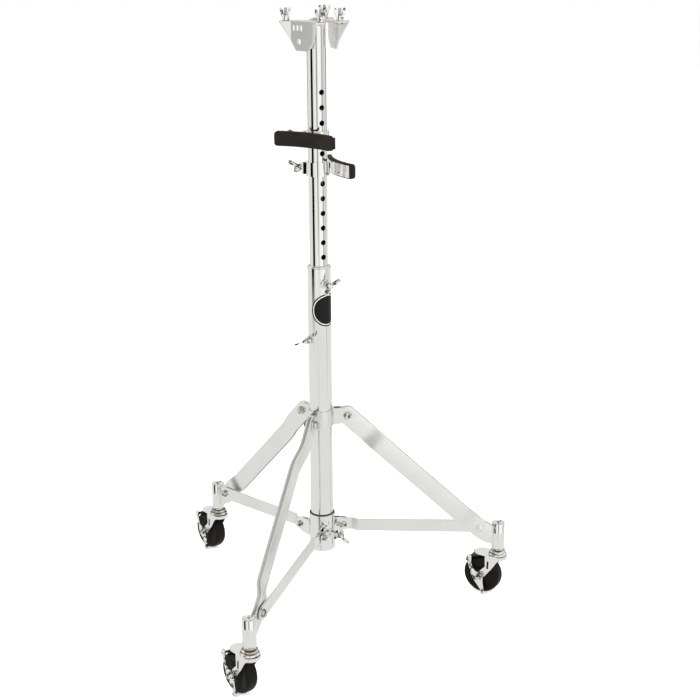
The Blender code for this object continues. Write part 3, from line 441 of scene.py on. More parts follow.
METAL = {"Metallic": 1.0}
SOFT = {"Specular IOR Level": 0.20}
DULL = {"Specular IOR Level": 0.15}
FINISHES = {
    "bright": surface("bright_chrome", METAL, bright_chrome),
    "seamed": surface("seamed_chrome", METAL, seamed_chrome),
    "pressed": surface("pressed_chrome", METAL, pressed_chrome),
    "satin": surface("satin_plate", METAL, satin_plate),
    "cast": surface("cast_chrome", METAL, cast_chrome),
    "zinc": surface("pale_zinc", METAL, pale_zinc),
    "head": surface("turned_zinc", METAL, turned_zinc),
    "pad": surface("pad_rubber", SOFT, pad_rubber),
    "wheel": surface("wheel_rubber", DULL, wheel_rubber),
    "nylon": surface("black_nylon", {}, nylon),
    "enamel": surface("dark_enamel", DULL, enamel),
    "paint": surface("white_print", {"Base Color": colour(0.78, 0.78, 0.76), "Roughness": 0.4}),
}


def smooth_step(value, start, end):
    share = min(1.0, max(0.0, (value - start) / (end - start)))
    return share * share * (3 - 2 * share)


def closed(bm):
    """Turns the faces of a finished shape outwards."""
    bmesh.ops.recalc_face_normals(bm, faces=bm.faces)
    return bm


def turned(profile, steps=96):
    """A closed (radius, z) outline spun about Z. Two points on the axis close the shape."""
    bm = bmesh.new()
    corners = [bm.verts.new((r, 0, z)) for r, z in profile]
    edges = [bm.edges.new(pair) for pair in zip(corners, corners[1:] + corners[:1])
             if max(corner.co.x for corner in pair) > 1e-7]
    bmesh.ops.spin(bm, geom=corners + edges, cent=(0, 0, 0), axis=UP, angle=tau, steps=steps, use_merge=True)
    bmesh.ops.remove_doubles(bm, verts=bm.verts, dist=1e-6)
    return closed(bm)


def ring(inner, outer, low, high, steps=96):
    return turned([(inner, low), (outer, low), (outer, high), (inner, high)], steps)


def rod(radius, low, high, steps=32):
    return turned([(0, low), (radius, low), (radius, high), (0, high)], steps)


def lifted(profile, height):
    return [(r, z + height) for r, z in profile]


def prism(outline, low, high):
    """A flat outline in X and Y, extruded along Z."""
    bm = bmesh.new()
    face = bm.faces.new([bm.verts.new((x, y, low)) for x, y in outline])
    grown = bmesh.ops.extrude_face_region(bm, geom=[face])["geom"]
    rise = [v for v in grown if isinstance(v, bmesh.types.BMVert)]
    bmesh.ops.translate(bm, verts=rise, vec=(0, 0, high - low))
    return closed(bm)


def skinned(bm, rings):
    """Faces between rings of corners, with both ends closed."""
    count = len(rings[0])
    for first, second in zip(rings, rings[1:]):
        for i in range(count):
            j = (i + 1) % count
            bm.faces.new((first[i], first[j], second[j], second[i]))
    bm.faces.new(rings[0])
    bm.faces.new(list(reversed(rings[-1])))


SWAP = Matrix(((1, 0, 0, 0), (0, 0, 1, 0), (0, 1, 0, 0), (0, 0, 0, 1)))
LAID = Matrix.Rotation(radians(-90), 4, "X")


def moved(bm, matrix):
    bmesh.ops.transform(bm, matrix=matrix, verts=bm.verts)
    if matrix.determinant() < 0:
        bmesh.ops.reverse_faces(bm, faces=bm.faces)
    return bm


def upright(outline, low, high):
    """An outline in X and Z, extruded along Y between two places, given in either order."""
    return moved(prism(outline, min(low, high), max(low, high)), SWAP)


def across(bm, place=(0, 0, 0)):
    """A shape made along Z, laid along +Y."""
    return moved(bm, Matrix.Translation(place) @ LAID)


def radial(bm, azimuth, height):
    """A shape made along Z, turned to point outwards from the mast axis."""
    heading = Matrix.Rotation(radians(azimuth - 90), 4, "Z")
    return moved(bm, Matrix.Translation((0, 0, height)) @ heading @ Matrix.Rotation(radians(90), 4, "Y"))


def arc(centre, radius, start, end, steps):
    angles = [radians(start + (end - start) * i / steps) for i in range(steps + 1)]
    return [(centre[0] + radius * cos(a), centre[1] + radius * sin(a)) for a in angles]


def round_bar(start, end, half_start, half_end, steps=12):
    """The outline of a bar with round ends, which may taper."""
    along = degrees(atan2(end[1] - start[1], end[0] - start[0]))
    return (arc(start, half_start, along + 90, along + 270, steps)
            + arc(end, half_end, along - 90, along + 90, steps))


def mirrored(half):
    """An outline from half of it: the points below the X axis, then the same points above in reverse."""
    return [(x, -y) for x, y in half] + list(reversed(half))


def ear(root, x, z, neck, half, radius, sweep, steps):
    """The outline of an ear: straight edges from its root, and a round end about its pin at (x, z)."""
    return ([(root, z - half), (x - neck, z - half)] + arc((x, z), radius, -sweep, sweep, steps)
            + [(x - neck, z + half), (root, z + half)])


def object_of(name, bm):
    mesh = bpy.data.meshes.new(name)
    bm.to_mesh(mesh)
    bm.free()
    made = bpy.data.objects.new(name, mesh)
    bpy.context.scene.collection.objects.link(made)
    return made


def fine(node, bm):
    return object_of(node + "_fine", bm)


def baked(piece):
    """Applies the modifiers of a piece to its mesh."""
    bpy.context.view_layer.update()
    graph = bpy.context.evaluated_depsgraph_get()
    mesh = bpy.data.meshes.new_from_object(piece.evaluated_get(graph))
    piece.modifiers.clear()
    piece.data = mesh


def combine(piece, operation, *tools):
    """Welds shapes on to a piece, or cuts them out of it."""
    for bm in tools:
        tool = object_of("tool", bm)
        step = piece.modifiers.new("shape", "BOOLEAN")
        step.operation = operation
        step.solver = "EXACT"
        step.object = tool
        baked(piece)
        bpy.data.objects.remove(tool, do_unlink=True)


def welded(piece, *tools):
    combine(piece, "UNION", *tools)


def bored(piece, *tools):
    combine(piece, "DIFFERENCE", *tools)


def softened(piece, width=0.0005, segments=3, angle=30.0):
    """Small rounds on every sharp edge, with the flats kept flat."""
    step = piece.modifiers.new("rounds", "BEVEL")
    step.width = width
    step.segments = segments
    step.limit_method = "ANGLE"
    step.angle_limit = radians(angle)
    step.use_clamp_overlap = True
    step.harden_normals = True


def settle(piece, body, finish, basis, *nodes):
    """Applies a piece's place, gives it its finish and sets it on its body in place of the plain nodes."""
    piece.data.transform(basis)
    piece.data.shade_smooth()
    piece.data.materials.clear()
    piece.data.materials.append(FINISHES[finish])
    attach(piece, body)
    if nodes:
        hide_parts(*nodes)


def paddle(root, end, neck, half, steps=9):
    """The outline of a wing: a narrow neck at the root that swells into an oval."""
    root = Vector(root)
    run = Vector(end) - root
    cross = Vector((-run.y, run.x)).normalized()
    spots = [(0.6 * i / steps, neck + (half - neck) * smooth_step(i / steps, 0, 1)) for i in range(steps + 1)]
    angles = [pi / 2 * i / (2 * steps) for i in range(1, 2 * steps)]
    spots += [(0.6 + 0.4 * sin(a), half * cos(a)) for a in angles]
    left = [root + run * share + cross * width for share, width in spots]
    right = [root + run * share - cross * width for share, width in reversed(spots)]
    return [tuple(p) for p in left + [Vector(end)] + right]


def wing(outline, thickness, rim, dish):
    """One ear of a wing head, dished on both faces inside its rim."""
    bm = upright(outline, -thickness / 2, thickness / 2)
    for face in [f for f in bm.faces if abs(f.normal.y) > 0.9]:
        way = -face.normal.copy()
        for inset in (rim, rim * 0.5):
            bmesh.ops.inset_region(bm, faces=[face], thickness=inset, use_even_offset=True)
        bmesh.ops.translate(bm, verts=face.verts, vec=way * dish)
    return bm


def winged(piece, root, end, neck, half, *sheet):
    """Welds two ears on a hub, one each way along X."""
    for side in (1, -1):
        lobe = paddle((side * root[0], root[1]), (side * end[0], end[1]), neck, half)
        welded(piece, wing(lobe, *sheet))


def thread(radius, depth, pitch, low, high):
    """The outline of a threaded length along Z, as ridges."""
    points = []
    for i in range(int((high - low) / pitch)):
        z = low + i * pitch
        points += [(radius - depth, z), (radius, z + pitch * 0.5)]
    return points


def build_wing_screw(node, body):
    """A locking screw: threaded shank, collar, tapered hub and two dished ears."""
    joint, stop, turn = SCREWS[node]
    shank = reach_of(joint) - stop - GAP
    top = SCREW_HUB_LENGTH
    hub = [(1.0, 0), (1.02, 0.0012), (0.98, 0.0024), (0.74, 0.0038), (0.70, top * 0.72), (0.56, top * 0.92),
           (0.26, top), (0, top)]
    profile = ([(0, -shank)] + thread(SCREW_R, 0.0005, 0.0012, -shank, -0.0004) + [(SCREW_R - 0.0005, 0)]
               + [(SCREW_HUB_R * share, z) for share, z in hub])
    piece = fine(node, turned(profile, 48))
    winged(piece, (0.0024, 0.0044), (0.0188, 0.0178), 0.0026, 0.0053, 0.0031, 0.0013, 0.0008)
    softened(piece, 0.00035, 3, 35)
    settle(piece, body, "cast", screw_basis(joint, turn), node)


def build_wing_nut(node, turn):
    """A head nut: round base, tapered hub open for the stud, two ears that stand up in a V."""
    base = 0.0056
    bore = 0.0031
    top = 0.0087
    profile = [(bore, 0), (base, 0), (base * 1.03, 0.0007), (base, 0.0016), (base * 0.84, 0.0032),
               (base * 0.78, 0.0080), (base * 0.70, top), (bore, top)]
    piece = fine(node, turned(profile, 40))
    winged(piece, (0.0044, 0.0030), (0.0088, 0.0210), 0.0014, 0.0024, 0.0024, 0.0006, 0.0005)
    bored(piece, rod(bore, -0.002, 0.012))
    softened(piece, 0.0003, 3, 35)
    settle(piece, node, "cast", screw_basis(node + "_turn", turn), node)


def bossed(piece, node, profile, start):
    """Welds a screw's boss on a tube and drills it, from inside the tube's wall."""
    joint = SCREWS[node][0]
    place = (azimuth_of(joint), height_of(joint))
    reach = profile[-1][1]
    welded(piece, radial(turned(profile, 48), *place))
    bored(piece, radial(rod(SCREW_HOLE_R, start, reach + 0.004), *place))


def tube(node, inner, outer, low, high):
    """A straight tube about Z with eased ends."""
    ease = 0.0005
    return fine(node, turned([(inner, low), (outer - ease, low), (outer, low + ease), (outer, high - ease),
                              (outer - ease, high), (inner + ease, high), (inner, high - ease)], 128))


def build_post():
    """The outer tube with its welded screw bosses and the bush in its mouth."""
    high = high_z("outer_tube")
    piece = tube("outer_tube", POST_BORE, POST_R, low_z("collar") + 0.001, high)
    root = POST_R - 0.0010
    reach = POST_R + BOSS_REACH
    for node in ("height_screw_upper", "height_screw_lower"):
        bossed(piece, node, [(0, root), (BOSS_R + 0.0012, root), (BOSS_R + 0.0006, POST_R + 0.0010),
                             (BOSS_R, POST_R + 0.0020), (BOSS_R, reach), (0, reach)], POST_BORE - 0.004)
    softened(piece, 0.0004, 2, 35)
    settle(piece, "post", "bright", AXIS, "outer_tube")

    low = low_z("tube_bush")
    top = high_z("tube_bush")
    bore = MAST_R + GAP
    sleeve = POST_BORE - GAP
    bush = fine("tube_bush", turned([
        (bore, low), (sleeve, low), (sleeve, high + 0.0002), (POST_R - 0.0002, high + 0.0002),
        (POST_R - 0.0001, high + 0.0014), (POST_R - 0.0008, top - 0.0002), (POST_R - 0.0014, top),
        (MAST_R + 0.0008, top), (bore, top - 0.0006)]))
    upper = SCREWS["height_screw_upper"][0]
    bored(bush, radial(rod(SCREW_HOLE_R, 0.008, 0.03), azimuth_of(upper), height_of(upper)))
    settle(bush, "post", "bright", AXIS, "tube_bush")


def build_badge():
    """A plain round sticker wrapped on the tube: a dark disc with a thin bright ring near its edge."""
    for name, inner, outer, lift, finish in (("badge_disc", 0.0, BADGE_R, 0.00012, "enamel"),
                                             ("badge_ring", BADGE_R * 0.865, BADGE_R * 0.915, 0.00020, "paint")):
        spots = [inner + (outer - inner) * i / 16 for i in range(17)]
        bm = turned([(r, 0) for r in spots] + [(r, lift) for r in reversed(spots)])
        for vert in bm.verts:
            radius = POST_R + 0.00002 + vert.co.z
            a = radians(BADGE_AZIMUTH) + vert.co.x / POST_R
            vert.co = (radius * sin(a), -radius * cos(a), BADGE_HEIGHT + vert.co.y)
        settle(object_of(name, closed(bm)), "post", finish, AXIS)


def build_mast():
    """The mast with its hole row, its foot bush, cap and the screw through the head brackets."""
    top = high_z("mast_tube")
    piece = tube("mast_tube", MAST_BORE, MAST_R, low_z("mast_tube"), top)
    holes = bmesh.new()
    for i in range(HOLE_COUNT):
        drill = radial(rod(HOLE_R, MAST_R * 0.5, MAST_R * 1.5), HOLE_AZIMUTH, HOLE_TOP - i * HOLE_PITCH)
        part = bpy.data.meshes.new("drill")
        drill.to_mesh(part)
        holes.from_mesh(part)
        drill.free()
    bored(piece, holes)
    softened(piece, 0.0003, 2, 35)
    settle(piece, "mast", "seamed", AXIS, "mast_tube")

    low = low_z("mast_foot_bush")
    high = high_z("mast_foot_bush")
    bush = fine("mast_foot_bush", ring(MAST_BORE - 0.003, POST_BORE - GAP, low, high, 64))
    bored(bush, rod(MAST_R + 0.0002, low + 0.003, high + 0.01, 64))
    softened(bush)
    settle(bush, "mast", "nylon", AXIS, "mast_foot_bush")

    low = low_z("mast_cap")
    high = high_z("mast_cap")
    bore = 0.0033
    plug = MAST_BORE - 0.0004
    cap = fine("mast_cap", turned([
        (bore, low), (plug, low), (plug, top + 0.0002), (MAST_R - 0.0002, top + 0.0002),
        (MAST_R, top + 0.0008), (MAST_R - 0.0002, high - 0.0002), (MAST_R - 0.0008, high), (bore, high)]))
    settle(cap, "mast", "bright", AXIS, "mast_cap")

    washer = high_z("head_screw") - 0.0035
    head = fine("head_screw", rod(0.0029, low_z("head_screw"), washer + 0.001, 24))
    disc = [(0, 0), (0.0114, 0), (0.0114, 0.0008), (0.0108, 0.0012), (0, 0.0012)]
    crown = [(0, 0.001), (0.0066, 0.001), (0.0066, 0.0022), (0.0050, 0.0032), (0.0026, 0.0035), (0, 0.0035)]
    welded(head, turned(lifted(disc, washer), 64), turned(lifted(crown, washer), 40))
    softened(head)
    settle(head, "mast", "zinc", AXIS, "head_screw")


def build_head_bracket(key):
    """A folded plate with a flange, a hanging face and two flared wings, and its two threaded studs."""
    node = "head_bracket_" + key
    pair = [place_of("wing_nut_" + key + "_" + letter + "_turn") for letter in ("a", "b")]
    seat = pair[0].z - GAP
    lateral = (pair[1] - pair[0]).normalized()
    centre = (pair[0] + pair[1]) / 2 - lateral.cross(UP) * STUD_PLACE[0]
    basis = lateral_basis((centre.x, centre.y, 0), lateral)
    mid = seat - SHEET / 2 - 0.0001
    front = FLANGE_FRONT
    bm = bmesh.new()
    half = {}
    for side in (1, -1):
        places = {
            "inner": (0.0068, 0.0132, mid), "back": (FLANGE_BACK - 0.006, FLANGE_HALF * 0.93, mid),
            "end_back": (FLANGE_BACK, FLANGE_HALF, mid), "end_mid": (front - 0.005, FLANGE_HALF, mid),
            "end_front": (front - 0.001, FLANGE_HALF - 0.003, mid),
            "tip": (FACE_DISTANCE + WING_PLATE_REACH, FACE_HALF_WIDTH + WING_PLATE_REACH, mid),
            "fold": (FACE_DISTANCE, FACE_HALF_WIDTH, mid),
            "wing_low": (FACE_DISTANCE, FACE_HALF_WIDTH, mid - WING_PLATE_HEIGHT),
            "low": (FACE_DISTANCE, FACE_LOW_HALF, mid - FACE_HEIGHT)}
        half[side] = {name: bm.verts.new((x, side * y, z)) for name, (x, y, z) in places.items()}
    right = half[1]
    left = half[-1]
    order = ("inner", "back", "end_back", "end_mid", "end_front", "tip", "fold")
    bm.faces.new([left[k] for k in order] + [right[k] for k in reversed(order)])
    order = ("fold", "wing_low", "low")
    bm.faces.new([left[k] for k in order] + [right[k] for k in reversed(order)])
    for side in (left, right):
        bm.faces.new([side["fold"], side["tip"], side["wing_low"]])
    piece = fine(node, closed(bm))
    thicken = piece.modifiers.new("sheet", "SOLIDIFY")
    thicken.thickness = SHEET
    thicken.offset = 0
    thicken.use_even_offset = True
    baked(piece)
    turn = Matrix(((0, 0, 1, 0), (0, 1, 0, 0), (-1, 0, 0, 0), (0, 0, 0, 1)))
    for y, drop, width in [(y, 0.0115, 0.0044) for y in SLOT_ROW] + [(-0.0060, 0.0340, 0.0052)]:
        half = width / 2
        straight = SLOT_HEIGHT / 2 - half
        outline = round_bar((y, seat - drop - straight), (y, seat - drop + straight), half, half, 10)
        hole = prism([(-v, u) for u, v in outline], FACE_DISTANCE - 0.01, FACE_DISTANCE + 0.01)
        bored(piece, moved(hole, turn))
    softened(piece, 0.0007, 3, 25)
    settle(piece, "mast", "satin", basis, node)

    for letter, side in (("a", -1), ("b", 1)):
        weld = [(0, -0.0032), (0.0046, -0.0030), (0.0060, -0.0020), (0.0062, -0.0002), (0.0029, -0.0002)]
        stud = lifted(weld, seat - SHEET)
        z = seat + 0.004
        stud.append((0.0029, z))
        while z < seat + 0.0205:
            stud += [(0.0026, z), (0.0030, z + 0.0005)]
            z += 0.0010
        stud += [(0.0024, seat + 0.0212), (0, seat + 0.0214)]
        stem = object_of("head_stud_" + key + "_" + letter, turned(stud, 32))
        stem.data.transform(Matrix.Translation((STUD_PLACE[0], side * STUD_PLACE[1], 0)))
        softened(stem, 0.0002, 2, 40)
        settle(stem, "mast", "zinc", basis)


def bent_strip(inner, outer, half_angle, half_height, corner, steps=40):
    """A strip bent about Z with its middle at -X, whose corners are rounded."""
    bm = bmesh.new()
    corner_angle = degrees(corner / outer)
    straight = half_angle - corner_angle
    marks = [-straight + 2 * straight * i / steps for i in range(steps + 1)]
    rounds = [straight + corner_angle * sin(radians(a)) for a in (15, 30, 45, 60, 72, 82)]
    rings = []
    for angle in [-r for r in reversed(rounds)] + marks + rounds:
        over = max(0.0, abs(angle) - straight) / corner_angle
        height = half_height - corner * (1 - sqrt(max(0.0, 1 - over * over)))
        a = radians(180 - angle)
        rings.append([bm.verts.new((r * cos(a), r * sin(a), z))
                      for r, z in ((inner, -height), (outer, -height), (outer, height), (inner, height))])
    skinned(bm, rings)
    return closed(bm)


def build_rest(key):
    """A mast collar with its lug, a neck to the curved band, and the rubber pad that wraps the band."""
    body = "rest_" + key
    basis = heading_basis(REST_AZIMUTH[key], middle("rest_collar_" + key).z)
    half = REST_COLLAR_HALF
    bore = MAST_R + GAP
    root = MAST_R + 0.0020
    collar = fine("rest_collar_" + key, ring(bore - 0.0010, REST_COLLAR_R, -half, half))
    centre = PAD_MIDDLE + PAD_ARC_R
    band_in = PAD_ARC_R + PAD_THICKNESS + 0.0002
    neck_end = centre - band_in - BAND_THICKNESS + 0.0004
    neck = 0.0098
    waist = mirrored([(root, neck), (0.0215, neck), (0.0250, 0.0074), (neck_end, neck)])
    welded(collar, prism(waist, -neck, neck))
    away = Matrix.Rotation(radians(azimuth_of(SCREWS["rest_screw_" + key][0]) - REST_AZIMUTH[key]), 4, "Z")
    lug = prism(mirrored([(root, 0.0088), (0.0240, 0.0088), (0.0278, 0.0066)]), -half + 0.002, half - 0.002)
    welded(collar, moved(lug, away))
    hole = moved(rod(SCREW_HOLE_R, MAST_R * 0.5, 0.035), Matrix.Rotation(radians(90), 4, "Y"))
    bored(collar, moved(hole, away), rod(bore, -0.02, 0.02, 96))
    softened(collar, 0.0008)
    settle(collar, body, "bright", basis, "rest_collar_" + key)

    arc_basis = basis @ Matrix.Translation((centre, 0, 0))
    strip = bent_strip(band_in, band_in + BAND_THICKNESS, BAND_HALF_ANGLE, BAND_HEIGHT / 2, 0.004)
    band = fine("rest_band_" + key, strip)
    softened(band)
    settle(band, body, "bright", arc_basis, "rest_band_" + key)

    outer = PAD_ARC_R + PAD_THICKNESS
    strip = bent_strip(PAD_ARC_R + 0.0004, outer, PAD_HALF_ANGLE, PAD_HEIGHT / 2, 0.0062)
    pad = object_of("rest_pad_%s_soft" % key, strip)
    lip = PAD_HEIGHT / 2 - 0.0030
    start = BAND_HALF_ANGLE + 0.15
    for side in (1, -1):
        root = 180 - side * start
        hook = (arc((0, 0), outer - 0.0020, root, 180 - side * (start + 1.15), 2)
                + arc((0, 0), outer + 0.0044, 180 - side * (start + 0.95), root, 2))
        welded(pad, prism(hook, -lip, lip))
    softened(pad, 0.0022, 5, 40)
    settle(pad, body, "pad", arc_basis, "rest_pad_" + key)


def leg_stations():
    """A leg's cross-sections from its round end to its weld: top and bottom (x, z) points, lateral offset."""
    run = Vector(STRUT_BOLT_PLACE)
    along = run.normalized()
    cross = Vector((-along.y, along.x))
    half = LEG_DEPTH / 2
    stations = []
    for angle in (86, 78, 68, 56, 43, 29, 15):
        back = half * sin(radians(angle))
        depth = half * cos(radians(angle))
        stations.append((along * -back + cross * depth, along * -back - cross * depth, 0.0))
    for percent in (0, 6, *range(13, 24, 2), *range(26, 87, 10), *range(87, 95), 97, 100):
        share = percent / 100
        point = along * (share * run.length)
        crank = LEG_CRANK * (smooth_step(share, 0.13, 0.26) - smooth_step(share, 0.86, 0.94))
        stations.append((point + cross * half, point - cross * half, crank))
    weld_x = FOOT_OUT - FOOT_R - 0.0004 + 0.0030
    last_top, last_bottom, _offset = stations[-1]
    end_bottom = Vector((weld_x, WELD_SPAN[0] - FOOT_DROP))
    end_top = Vector((weld_x, WELD_SPAN[1] - FOOT_DROP))
    for share in (0.15, 0.3, 0.45, 0.6, 0.75, 0.9, 1.0):
        bottom = last_bottom.lerp(end_bottom, share)
        bottom.y -= 0.0038 * sin(pi * share)
        stations.append((last_top.lerp(end_top, share), bottom, 0.0))
    return stations


def channel_section():
    """The section of the folded channel with its lips, as (edge, lateral, height over that edge) points."""
    wall = LEG_WALL
    outer = LEG_WIDTH / 2
    inner = outer - wall
    lip = outer - LEG_LIP
    radius = wall * 1.3
    small = 0.0005

    def fold(x, y, reach, start, end, steps):
        return [("top", *spot) for spot in arc((x, y), reach, start, end, steps)]

    return ([("bottom", -outer, 0.0)] + fold(-outer + radius, -radius, radius, 180, 90, 4)
            + fold(outer - radius, -radius, radius, 90, 0, 4)
            + [("bottom", outer, 0.0), ("bottom", lip, 0.0), ("bottom", lip, wall), ("bottom", inner, wall)]
            + fold(inner - small, -wall - small, small, 0, 90, 2)
            + fold(-inner + small, -wall - small, small, 90, 180, 2)
            + [("bottom", -inner, wall), ("bottom", -lip, wall), ("bottom", -lip, 0.0)])


def build_leg(key):
    """The pressed channel leg with its welded stud, its foot tube and the weld bead between them."""
    body = "leg_" + key
    basis = joint_basis("leg_fold_" + key)
    pivot = height_of("leg_fold_" + key)
    bm = bmesh.new()
    rings = []
    section = channel_section()
    for top, bottom, offset in leg_stations():
        down = (bottom - top).normalized()
        squeeze = min(1.0, (bottom - top).length / 0.012)
        loop = []
        for edge, lateral, lift in section:
            spot = (top if edge == "top" else bottom) - down * (lift * squeeze)
            loop.append(bm.verts.new((spot.x, offset + lateral, spot.y)))
        rings.append(loop)
    skinned(bm, rings)
    piece = fine("leg_bar_" + key, closed(bm))
    bored(piece, across(rod(0.0042, -0.02, 0.02)))
    wall = LEG_WIDTH / 2 - LEG_WALL / 2
    tip = STRUT_OUTER - 0.0004
    stud = [(0, -wall - 0.0046), (0.0050, -wall - 0.0046), (0.0068, -wall - 0.0034), (0.0070, -wall + 0.0001),
            (0.0040, -wall), (0.0040, wall), (0.0068, wall), (0.0068, tip), (0, tip)]
    welded(piece, across(turned(stud, 40), (STRUT_BOLT_PLACE[0], 0, STRUT_BOLT_PLACE[1])))
    softened(piece, 0.0004, 2, 35)
    settle(piece, body, "pressed", basis, "leg_bar_" + key)

    low = HEAD_TOP + GAP - pivot
    high = high_z("foot_tube_" + key) - pivot
    foot = basis @ Matrix.Translation((FOOT_OUT, 0, 0))
    bore = 0.0061
    profile = [(bore, low), (FOOT_R - 0.0005, low), (FOOT_R, low + 0.0005), (FOOT_R, high - 0.0008),
               (FOOT_R - 0.0007, high), (FOOT_R - 0.0016, high), (FOOT_R - 0.0021, high - 0.0006),
               (FOOT_R - 0.0023, high - 0.0034), (bore, high - 0.0036)]
    settle(fine("foot_tube_" + key, turned(profile, 72)), body, "bright", foot, "foot_tube_" + key)
    settle(object_of("weld_bead_" + key, weld_bead()), body, "pressed", foot)


def weld_bead():
    """A thin rippled fillet on each side where the leg meets the foot tube."""
    bm = bmesh.new()
    steps = 26
    for side in (1, -1):
        rings = []
        for i in range(steps + 1):
            swell = 0.0011 * (1.0 + 0.16 * sin(i * 2.4))
            centre = Vector((-FOOT_R * 0.925, side * (LEG_WIDTH / 2 + 0.0001), -0.2885 + 0.0385 * i / steps))
            rings.append([bm.verts.new(centre + Vector((x, y, 0))) for x, y in arc((0, 0), swell, 0, 324, 9)])
        skinned(bm, rings)
    return closed(bm)


def build_bolt(node, body, joint, head_r, shank_r, head_low, low, high, nut_high, *caps):
    """A hexagon bolt and nut with a washer face each, across a level joint."""
    piece = fine(node, rod(shank_r, head_low + 0.001, nut_high + 0.0012))
    for seat, end in ((low, head_low), (high, nut_high)):
        rise = 0.0006 if end > seat else -0.0006
        face = seat + rise
        hexagon = object_of("hex", rod(head_r, min(face, end), max(face, end), 6))
        crown = [(0, seat), (head_r * 0.98, seat), (head_r * 1.06, seat + rise * 2), (head_r * 0.86, end),
                 (0, end)]
        combine(hexagon, "INTERSECT", turned(crown, 40))
        shape = bmesh.new()
        shape.from_mesh(hexagon.data)
        bpy.data.objects.remove(hexagon, do_unlink=True)
        welded(piece, shape, ring(shank_r * 0.9, head_r * 1.12, min(seat, face), max(seat, face), 40))
    welded(piece, *caps)
    piece.data.transform(LAID)
    softened(piece, 0.0003, 2, 35)
    settle(piece, body, "zinc", joint_basis(joint), node)


def build_bolts():
    """The leg pivot bolts, collar pins and axle bolts."""
    for key in LEG_KEYS:
        seat = 0.0081
        build_bolt("leg_pivot_bolt_" + key, "post", "leg_fold_" + key, 0.0068, 0.0038,
                   -seat - 0.0044, -seat, seat, seat + 0.0048)
        near = CLEVIS_NEAR - CLEVIS_SHEET
        far = CLEVIS_FAR + CLEVIS_SHEET
        build_bolt("collar_pin_" + key, "collar", "strut_turn_" + key, 0.0058, 0.0033,
                   near - 0.0036, near - GAP, far + 0.0001, far + 0.0040)
        out = 0.0189
        dome = [(0, 0.0040), (0.0048, 0.0040), (0.0048, 0.0072), (0.0036, 0.0090), (0.0018, 0.0096),
                (0, 0.0097)]
        build_bolt("axle_bolt_" + key, "fork_" + key, "wheel_spin_" + key, 0.0064, 0.0038,
                   -out - 0.0042, -out, out, out + 0.0046, turned(lifted(dome, out), 32))


def build_strut(key):
    """A flat joggled strut with pressed round ends, and the bolt at its outer end."""
    body = "strut_" + key
    basis = joint_basis("strut_turn_" + key)
    half = STRUT_WIDTH / 2
    face = STRUT_INNER + STRUT_THICKNESS
    flat = upright(round_bar((0, 0), STRUT_RUN, half * 0.92, half, 16), STRUT_INNER, face)
    start, end = STRUT_JOGGLE
    for i in range(9):
        bmesh.ops.bisect_plane(flat, geom=flat.verts[:] + flat.edges[:] + flat.faces[:],
                               plane_co=(start + (end - start) * i / 8, 0, 0), plane_no=(1, 0, 0))
    for vert in flat.verts:
        vert.co.y += (STRUT_OUTER - STRUT_INNER) * smooth_step(vert.co.x, start, end)
    bar = fine("strut_" + key, flat)
    end_place = (STRUT_RUN[0], 0, STRUT_RUN[1])
    pressed = [(-0.020, -0.020), (0.0135, -0.022), (0.0145, 0.018), (-0.020, 0.020)]
    bored(bar, across(rod(0.0036, 0, 0.03)), across(rod(PIN_HOLE_R, 0, 0.03), end_place),
          upright(pressed, face - 0.0009, face + 0.002))
    softened(bar, 0.0010, 4, 40)
    settle(bar, body, "pressed", basis, "strut_" + key)

    outer = STRUT_OUTER + STRUT_THICKNESS
    head = fine("strut_bolt_" + key, rod(0.0038, STRUT_OUTER, outer + 0.002))
    tip = lifted([(0, 0.001), (0.0036, 0.001), (0.0034, 0.0062), (0, 0.0062)], outer)
    welded(head, rod(0.0074, outer + 0.0002, outer + 0.0010, 48),
           rod(0.0066, outer + 0.0008, outer + 0.0052, 6), turned(tip, 32))
    head.data.transform(Matrix.Translation(end_place) @ LAID)
    softened(head, 0.0004, 3, 35)
    settle(head, body, "zinc", basis, "strut_bolt_" + key)


def build_leg_bracket():
    """The welded sleeve that carries the three leg pivots."""
    pivot = height_of("leg_fold_front")
    half = BRACKET_HALF
    piece = fine("leg_bracket", ring(POST_R + GAP, BRACKET_R, pivot - half, pivot + half))
    outline = ear(POST_R + 0.0012, LEG_PIVOT_R, pivot, 0.010, half, 0.0118, 72, 16)
    for key in LEG_KEYS:
        turn = lateral_basis((0, 0, 0), JOINTS["leg_fold_" + key]["axis"])
        for side in (1, -1):
            near = LEG_WIDTH / 2 + GAP
            welded(piece, moved(upright(outline, side * near, side * (near + EAR_THICKNESS)), turn))
        bored(piece, moved(across(rod(PIN_HOLE_R, -0.02, 0.02), (LEG_PIVOT_R, 0, pivot)), turn))
    softened(piece, 0.0007, 3, 35)
    settle(piece, "post", "pressed", AXIS, "leg_bracket")


